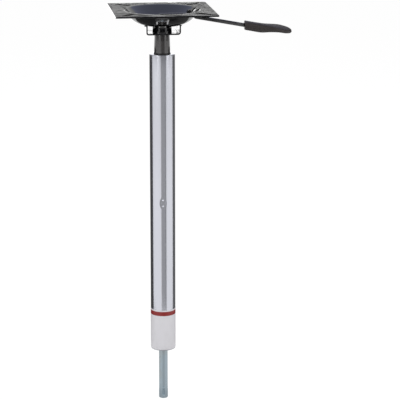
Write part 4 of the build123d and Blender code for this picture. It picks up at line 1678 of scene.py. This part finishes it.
@dataclass
class Lever:
    """Bent release rod with its moulded paddle grip, in millimetres."""

    trees: Trees
    radius: float = highest("lever_rod", Y)
    height: float = highest("lever_rod") - highest("lever_rod", Y)
    inner_x: float = lowest("lever_rod", X)
    jog_x: float = 55.5
    jog_drop: float = 4.0
    bend: float = 6.0
    slope: float = 10.5
    grip_x: float = lowest("lever_grip", X)
    tip_x: float = highest("lever_grip", X)
    rod_in_grip: float = 36.0
    rod_gap: float = 0.15
    lead_slope: float = 0.18
    seam_height: float = 0.16
    seam_half: float = 0.5
    around: int = 72

    def build(self) -> None:
        """Builds the rod and the grip."""
        self.rod()
        self.grip()

    def line(self, x: float) -> float:
        """Height of the rod's centre on its long slope."""
        fall = math.tan(math.radians(self.slope))
        return self.height - self.jog_drop - fall * (x - self.jog_x - self.jog_drop)

    def rod(self) -> None:
        """Sweeps the rod along its bent path."""
        end = self.grip_x + self.rod_in_grip
        foot = self.jog_x + self.jog_drop
        path = rounded([
            (self.inner_x, self.height, 0.0),
            (self.jog_x, self.height, self.bend),
            (foot, self.line(foot), self.bend),
            (end, self.line(end), 0.0),
        ], 10)
        piece = chain_object("lever_rod_black", [(x, 0.0, z) for x, z in path])
        material = GLOSS_BLACK.material()
        run_tree(piece, self.trees.sweep, radius=self.radius * MM, sides=48, material=material)
        round_edges(piece, 0.5, 60.0)
        smooth(piece)
        hand_over(piece, Body.LEVER, GLOSS_BLACK, ["lever_rod"])

    @staticmethod
    def grip_rows() -> list[tuple[float, ...]]:
        """Eases between the grip's measured sections.

        Returns:
            For each ring its share of the length, drop, half height, half width, twist and squareness.
        """
        table = [
            (0.00, 0.0, 8.3, 8.3, 0.0, 2.3),
            (0.14, 2.2, 8.4, 8.6, 0.0, 2.3),
            (0.36, 5.4, 8.4, 9.2, 0.0, 2.3),
            (0.55, 6.0, 6.8, 10.4, 12.0, 2.4),
            (0.72, 6.9, 5.2, 11.2, 20.0, 2.4),
            (0.87, 9.4, 4.4, 10.4, 22.0, 2.2),
            (0.96, 10.9, 3.5, 7.8, 22.0, 2.0),
            (1.00, 11.4, 1.8, 4.0, 22.0, 2.0),
        ]
        shares = [row[0] for row in table]
        rows = []
        for index in range(61):
            share = 1 - (1 - index / 60) ** 1.25
            k = min(max(sum(1 for s in shares if s <= share) - 1, 0), len(table) - 2)
            span = shares[k + 1] - shares[k]
            t = (share - shares[k]) / span
            eased = t * t * (3 - 2 * t)
            values = []
            for column in range(1, 6):
                first, last = table[k][column], table[k + 1][column]
                before = after = (last - first) / span
                if k:
                    before = (last - table[k - 1][column]) / (shares[k + 1] - shares[k - 1])
                if k + 2 < len(table):
                    after = (table[k + 2][column] - first) / (shares[k + 2] - shares[k])
                pull = before * t * (1 - t) ** 2 - after * t * t * (1 - t)
                values.append(first + (last - first) * eased + span * pull)
            rows.append((share, *values))
        return rows

    def grip(self) -> None:
        """Builds the paddle: rounded collar end, swelling belly, flat twisted blade."""
        length = self.tip_x - self.grip_x
        start = self.line(self.grip_x)
        turns = [2 * math.pi * index / self.around for index in range(self.around)]
        hole = self.radius + self.rod_gap
        points: list[tuple[float, float, float]] = []
        for x, size in [(9.0, 1.2), (8.0, hole), (0.0, hole), (0.0, 6.9), (0.12, 7.6), (0.45, 8.05)]:
            ring = [(size * math.cos(turn), size * math.sin(turn)) for turn in turns]
            points += [(self.grip_x + x, y, start - x * self.lead_slope + z) for y, z in ring]
        for share, drop, high, wide, twist, square in self.grip_rows():
            if 0.0 < share * length < 1.0:
                continue
            x = self.grip_x + max(share * length, 1.1)
            c, s = math.cos(math.radians(twist)), math.sin(math.radians(twist))
            for turn in turns:
                a = math.copysign(abs(math.cos(turn)) ** (2 / square), math.cos(turn)) * wide
                b = math.copysign(abs(math.sin(turn)) ** (2 / square), math.sin(turn)) * high
                a += math.copysign(self.seam_height * max(0.0, 1 - abs(b) / self.seam_half), a)
                points.append((x, a * c - b * s, start - drop + a * s + b * c))
        faces = tube_faces(len(points) // self.around, self.around)
        piece = mesh_object("lever_grip_moulded", points, faces)
        smooth(piece, 60.0)
        hand_over(piece, Body.LEVER, GRIP_BLACK, ["lever_grip"])


# Solids that keep their own shape


@dataclass
class KeptSolids:
    """Finishes of the solids whose shape is already right."""

    finishes: dict[str, Finish] = field(default_factory=lambda: {
        Slot.ALUMINIUM.value: TURNED_ALUMINIUM,
        Slot.ZINC.value: ZINC,
        Slot.GROUND_STEEL.value: STEEL,
        Slot.GLOSS_BLACK.value: GLOSS_BLACK,
        Slot.CYLINDER_BLACK.value: CYLINDER_BLACK,
        Slot.BUSHING.value: BUSHING_BLACK,
        Slot.GRIP.value: GRIP_BLACK,
        Slot.VINYL.value: VINYL,
        Slot.RUBBER.value: RUBBER,
    })

    def build(self) -> None:
        """Gives each solid that is still shown the finish of its slot."""
        for subpart in frame["record"]["subparts"]:
            node = frame["nodes"][subpart["node"]]
            if node.hide_render:
                continue
            finish = self.finishes[subpart["material_slot"]]
            for place in node.material_slots:
                place.material = finish.material()
            LOG.info("%s keeps its solid, %s", node.name, finish.name)


# Studio


@dataclass(frozen=True)
class Softbox:
    """A rectangular lamp that faces a point."""

    name: str
    azimuth: float
    distance: float
    height: float
    size: tuple[float, float]
    watts: float
    aim: float = 0.3

    def build(self) -> None:
        """Hangs the lamp."""
        data = bpy.data.lights.new(self.name, "AREA")
        data.shape = "RECTANGLE"
        data.size, data.size_y = self.size
        data.energy = self.watts
        lamp = bpy.data.objects.new(self.name, data)
        turn = math.radians(self.azimuth)
        place = Vector((math.sin(turn) * self.distance, -math.cos(turn) * self.distance, self.height))
        lamp.location = place
        lamp.rotation_mode = "QUATERNION"
        lamp.rotation_quaternion = (Vector((0, 0, self.aim)) - place).to_track_quat("-Z", "Y")
        bpy.context.scene.collection.objects.link(lamp)


@dataclass(frozen=True)
class Card:
    """A curved grey card round the object that only its reflections show."""

    azimuth: float
    half_width: float
    grey: float
    low: float = -97.0
    high: float = 495.0
    distance: float = 420.0

    def build(self, number: int) -> None:
        """Stands the card up.

        Args:
            number: The card's number.
        """
        steps = max(4, math.ceil(self.half_width / 6))
        shares = [i / steps - 1 for i in range(2 * steps + 1)]
        turns = [math.radians(self.azimuth + self.half_width * share) for share in shares]
        spots = [(math.sin(t) * self.distance, -math.cos(t) * self.distance) for t in turns]
        points = [(x, y, z) for x, y in spots for z in (self.low, self.high)]
        faces = [(2 * i, 2 * i + 2, 2 * i + 3, 2 * i + 1) for i in range(2 * steps)]
        show_in_reflections(mesh_object(f"card_{number}", points, faces), self.grey)


@dataclass(frozen=True)
class Disc:
    """A flat ring round the object that only reflections show, in millimetres."""

    inner: float
    outer: float
    height: float
    grey: float
    tint: Colour = WHITE
    back: float = 0.0
    stretch: float = 1.0
    first: float = 0.0
    last: float = 360.0

    def build(self, number: int) -> None:
        """Lays the ring.

        Args:
            number: The ring's number.
        """
        steps = 64
        span = self.last - self.first
        turns = [math.radians(self.first + span * i / steps) for i in range(steps + 1)]
        places = [(radius, turn) for radius in (self.inner, self.outer) for turn in turns]
        points = [(radius * math.cos(turn) * self.stretch, self.back + radius * math.sin(turn), self.height)
                  for radius, turn in places]
        faces = [(i, i + 1, steps + 2 + i, steps + 1 + i) for i in range(steps)]
        show_in_reflections(mesh_object(f"disc_{number}", points, faces), self.grey, self.tint)


def show_in_reflections(piece: Piece, grey: float, tint: Colour = WHITE) -> None:
    """Makes a stage piece a plain grey that only glossy rays see.

    Args:
        piece: The piece.
        grey: How bright it is, where 1 is white.
        tint: Its tint.
    """
    material = bpy.data.materials.new(f"grey {piece.name}")
    material.use_nodes = True
    graph = Graph(material.node_tree)
    glow = graph.add("ShaderNodeEmission", {"Color": (*tint, 1.0), "Strength": grey})
    graph.add("ShaderNodeOutputMaterial", {"Surface": glow.outputs[0]})
    piece.data.materials.append(material)
    for ray in ("camera", "diffuse", "transmission", "volume_scatter", "shadow"):
        setattr(piece, f"visible_{ray}", False)
    piece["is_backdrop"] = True


@dataclass
class Studio:
    """Pale floor, soft lamps, grey cards and the camera."""

    floor_z: float = lowest("deck_pin")
    floor_size: float = 40.0
    azimuth: float = -7.85
    elevation: float = 14.62
    distance: float = 2932.0
    aside: float = 67.3
    target_z: float = 280.7
    roll: float = 0.12
    lens: float = 146.16
    lamps: tuple[Softbox, ...] = (
        Softbox("softbox_left", -58.0, 2.2, 1.3, (1.4, 1.8), 20.0),
        Softbox("softbox_right", 58.0, 2.2, 1.3, (1.4, 1.8), 18.0),
        Softbox("softbox_above", 150.0, 1.2, 2.6, (1.8, 1.8), 20.0, 0.5),
    )
    cards: tuple[Card, ...] = (
        # In front of the tube
        Card(-2.0, 17.5, 0.44, high=522.0),
        Card(21.0, 5.0, 0.28, high=522.0),
        # In front of the cylinder and the bracket, and to their sides
        Card(0.0, 32.0, 0.02, 522.0, 600.0),
        Card(-75.0, 27.0, 0.05, 522.0, 600.0),
        Card(75.0, 27.0, 0.05, 522.0, 600.0),
        # Close behind the tube, left and right
        Card(-137.0, 40.0, 0.08, high=545.0, distance=100.0),
        Card(132.0, 44.0, 0.15, high=545.0, distance=100.0),
        # All round, above the seat plate
        Card(180.0, 180.0, 0.08, 664.0, 680.0, 430.0),
        Card(180.0, 180.0, 0.58, 680.0, 696.0, 430.0),
        Card(180.0, 180.0, 0.12, 696.0, 745.0, 430.0),
        # Behind the seat mount, and close behind the cylinder's top
        Card(180.0, 48.0, 2.0, 500.0, 662.0, 430.0),
        Card(180.0, 70.0, 0.01, 597.0, 613.0, 27.0),
        # Round the deck pin
        Card(0.0, 28.0, 0.44, -97.5, -4.0, 60.0),
        Card(180.0, 152.0, 0.58, -97.5, -4.0, 60.0),
    )
    discs: tuple[Disc, ...] = (
        # Just above the floor, under the deck pin and behind it
        Disc(0.0, 59.0, -97.9, 0.42),
        Disc(62.0, 430.0, -97.9, 0.03, last=190.0, first=-10.0),
        # High above the seat
        Disc(0.0, 1400.0, 1600.0, 0.25),
        Disc(0.0, 220.0, 900.0, 0.88, (0.82, 0.88, 1.22), 150.0, 2.1),
    )
    floor_colour: Colour = (0.86, 0.86, 0.86)
    floor_dim: Colour = (0.16, 0.16, 0.16)
    floor_glow: float = 0.93
    world_light: float = 0.35

    def build(self) -> None:
        """Sets the floor, the world, the lamps and the camera."""
        self.floor()
        self.world()
        for lamp in self.lamps:
            lamp.build()
        for number, card in enumerate(self.cards):
            card.build(number)
        for number, disc in enumerate(self.discs):
            disc.build(number)
        self.camera()
        bpy.context.scene.view_settings.view_transform = "Standard"
        LOG.info("studio: %d lamps", len(self.lamps))

    @staticmethod
    def shown(graph: Graph) -> Socket:
        """Returns 1 for camera, glossy and transmission rays."""
        path = graph.add("ShaderNodeLightPath").outputs
        sharp = graph.math("MAXIMUM", path["Is Glossy Ray"], path["Is Transmission Ray"])
        return graph.math("MAXIMUM", path["Is Camera Ray"], sharp)

    def floor(self) -> None:
        """Lays the floor, white where it is seen and still taking the shadow."""
        half = self.floor_size / MM / 2
        z = self.floor_z
        spots = [(-half, -half, z), (half, -half, z), (half, half, z), (-half, half, z)]
        piece = mesh_object("floor", spots, [(0, 1, 2, 3)])
        material = bpy.data.materials.new("pale floor")
        material.use_nodes = True
        graph = Graph(material.node_tree)
        plain = graph.add("ShaderNodeBsdfDiffuse", {"Color": (*self.floor_colour, 1.0)}).outputs[0]
        dim = graph.add("ShaderNodeBsdfDiffuse", {"Color": (*self.floor_dim, 1.0)}).outputs[0]
        white = {"Color": (*WHITE, 1.0), "Strength": self.floor_glow}
        glow = graph.add("ShaderNodeEmission", white).outputs[0]
        bright = graph.add("ShaderNodeAddShader", {0: dim, 1: glow}).outputs[0]
        surface = graph.add("ShaderNodeMixShader", {0: self.shown(graph), 1: plain, 2: bright}).outputs[0]
        graph.add("ShaderNodeOutputMaterial", {"Surface": surface})
        piece.data.materials.append(material)
        piece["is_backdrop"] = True

    def world(self) -> None:
        """Makes the surroundings white where they are seen and a soft grey for the light."""
        world = bpy.data.worlds.new("studio")
        world.use_nodes = True
        bpy.context.scene.world = world
        graph = Graph(world.node_tree)
        soft = {"Color": (*WHITE, 1.0), "Strength": self.world_light}
        dim = graph.add("ShaderNodeBackground", soft).outputs[0]
        full = {"Color": (*WHITE, 1.0), "Strength": 1.0}
        white = graph.add("ShaderNodeBackground", full).outputs[0]
        surface = graph.add("ShaderNodeMixShader", {0: self.shown(graph), 1: dim, 2: white}).outputs[0]
        graph.add("ShaderNodeOutputWorld", {"Surface": surface})

    def camera(self) -> None:
        """Sets the camera at the photograph's viewing angle."""
        a, e, r = (math.radians(value) for value in (self.azimuth, self.elevation, self.roll))
        right = Vector((math.cos(a), math.sin(a), 0.0))
        back = Vector((math.sin(a) * math.cos(e), -math.cos(a) * math.cos(e), math.sin(e)))
        up = back.cross(right)
        target = Vector((0.0, 0.0, self.target_z)) + right * self.aside
        place = (target + back * self.distance) * MM
        turned_right = right * math.cos(r) + up * math.sin(r)
        turned_up = up * math.cos(r) - right * math.sin(r)
        data = bpy.data.cameras.new("camera")
        data.lens = self.lens
        data.sensor_width = 36.0
        data.clip_start, data.clip_end = 0.1, 60.0
        camera = bpy.data.objects.new("camera", data)
        turn = Matrix((turned_right, turned_up, back)).transposed().to_4x4()
        camera.matrix_world = Matrix.Translation(place) @ turn
        bpy.context.scene.collection.objects.link(camera)
        bpy.context.scene.camera = camera


def corners() -> list[list[float]]:
    """Returns the shown object's lowest and highest corners as plain lists."""
    return [[float(value) for value in corner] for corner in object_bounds()]


def main() -> None:
    """Builds the pedestal's pieces in order, then the studio."""
    logging.basicConfig(level=logging.INFO, format="%(message)s")
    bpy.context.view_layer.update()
    trees = Trees()
    assemblies = (Post(trees), GasCylinder(trees), SeatMount(trees), Lever(trees), KeptSolids(), Studio())
    for assembly in assemblies:
        LOG.info("%s", type(assembly).__name__)
        assembly.build()


if __name__ == "__main__":
    main()
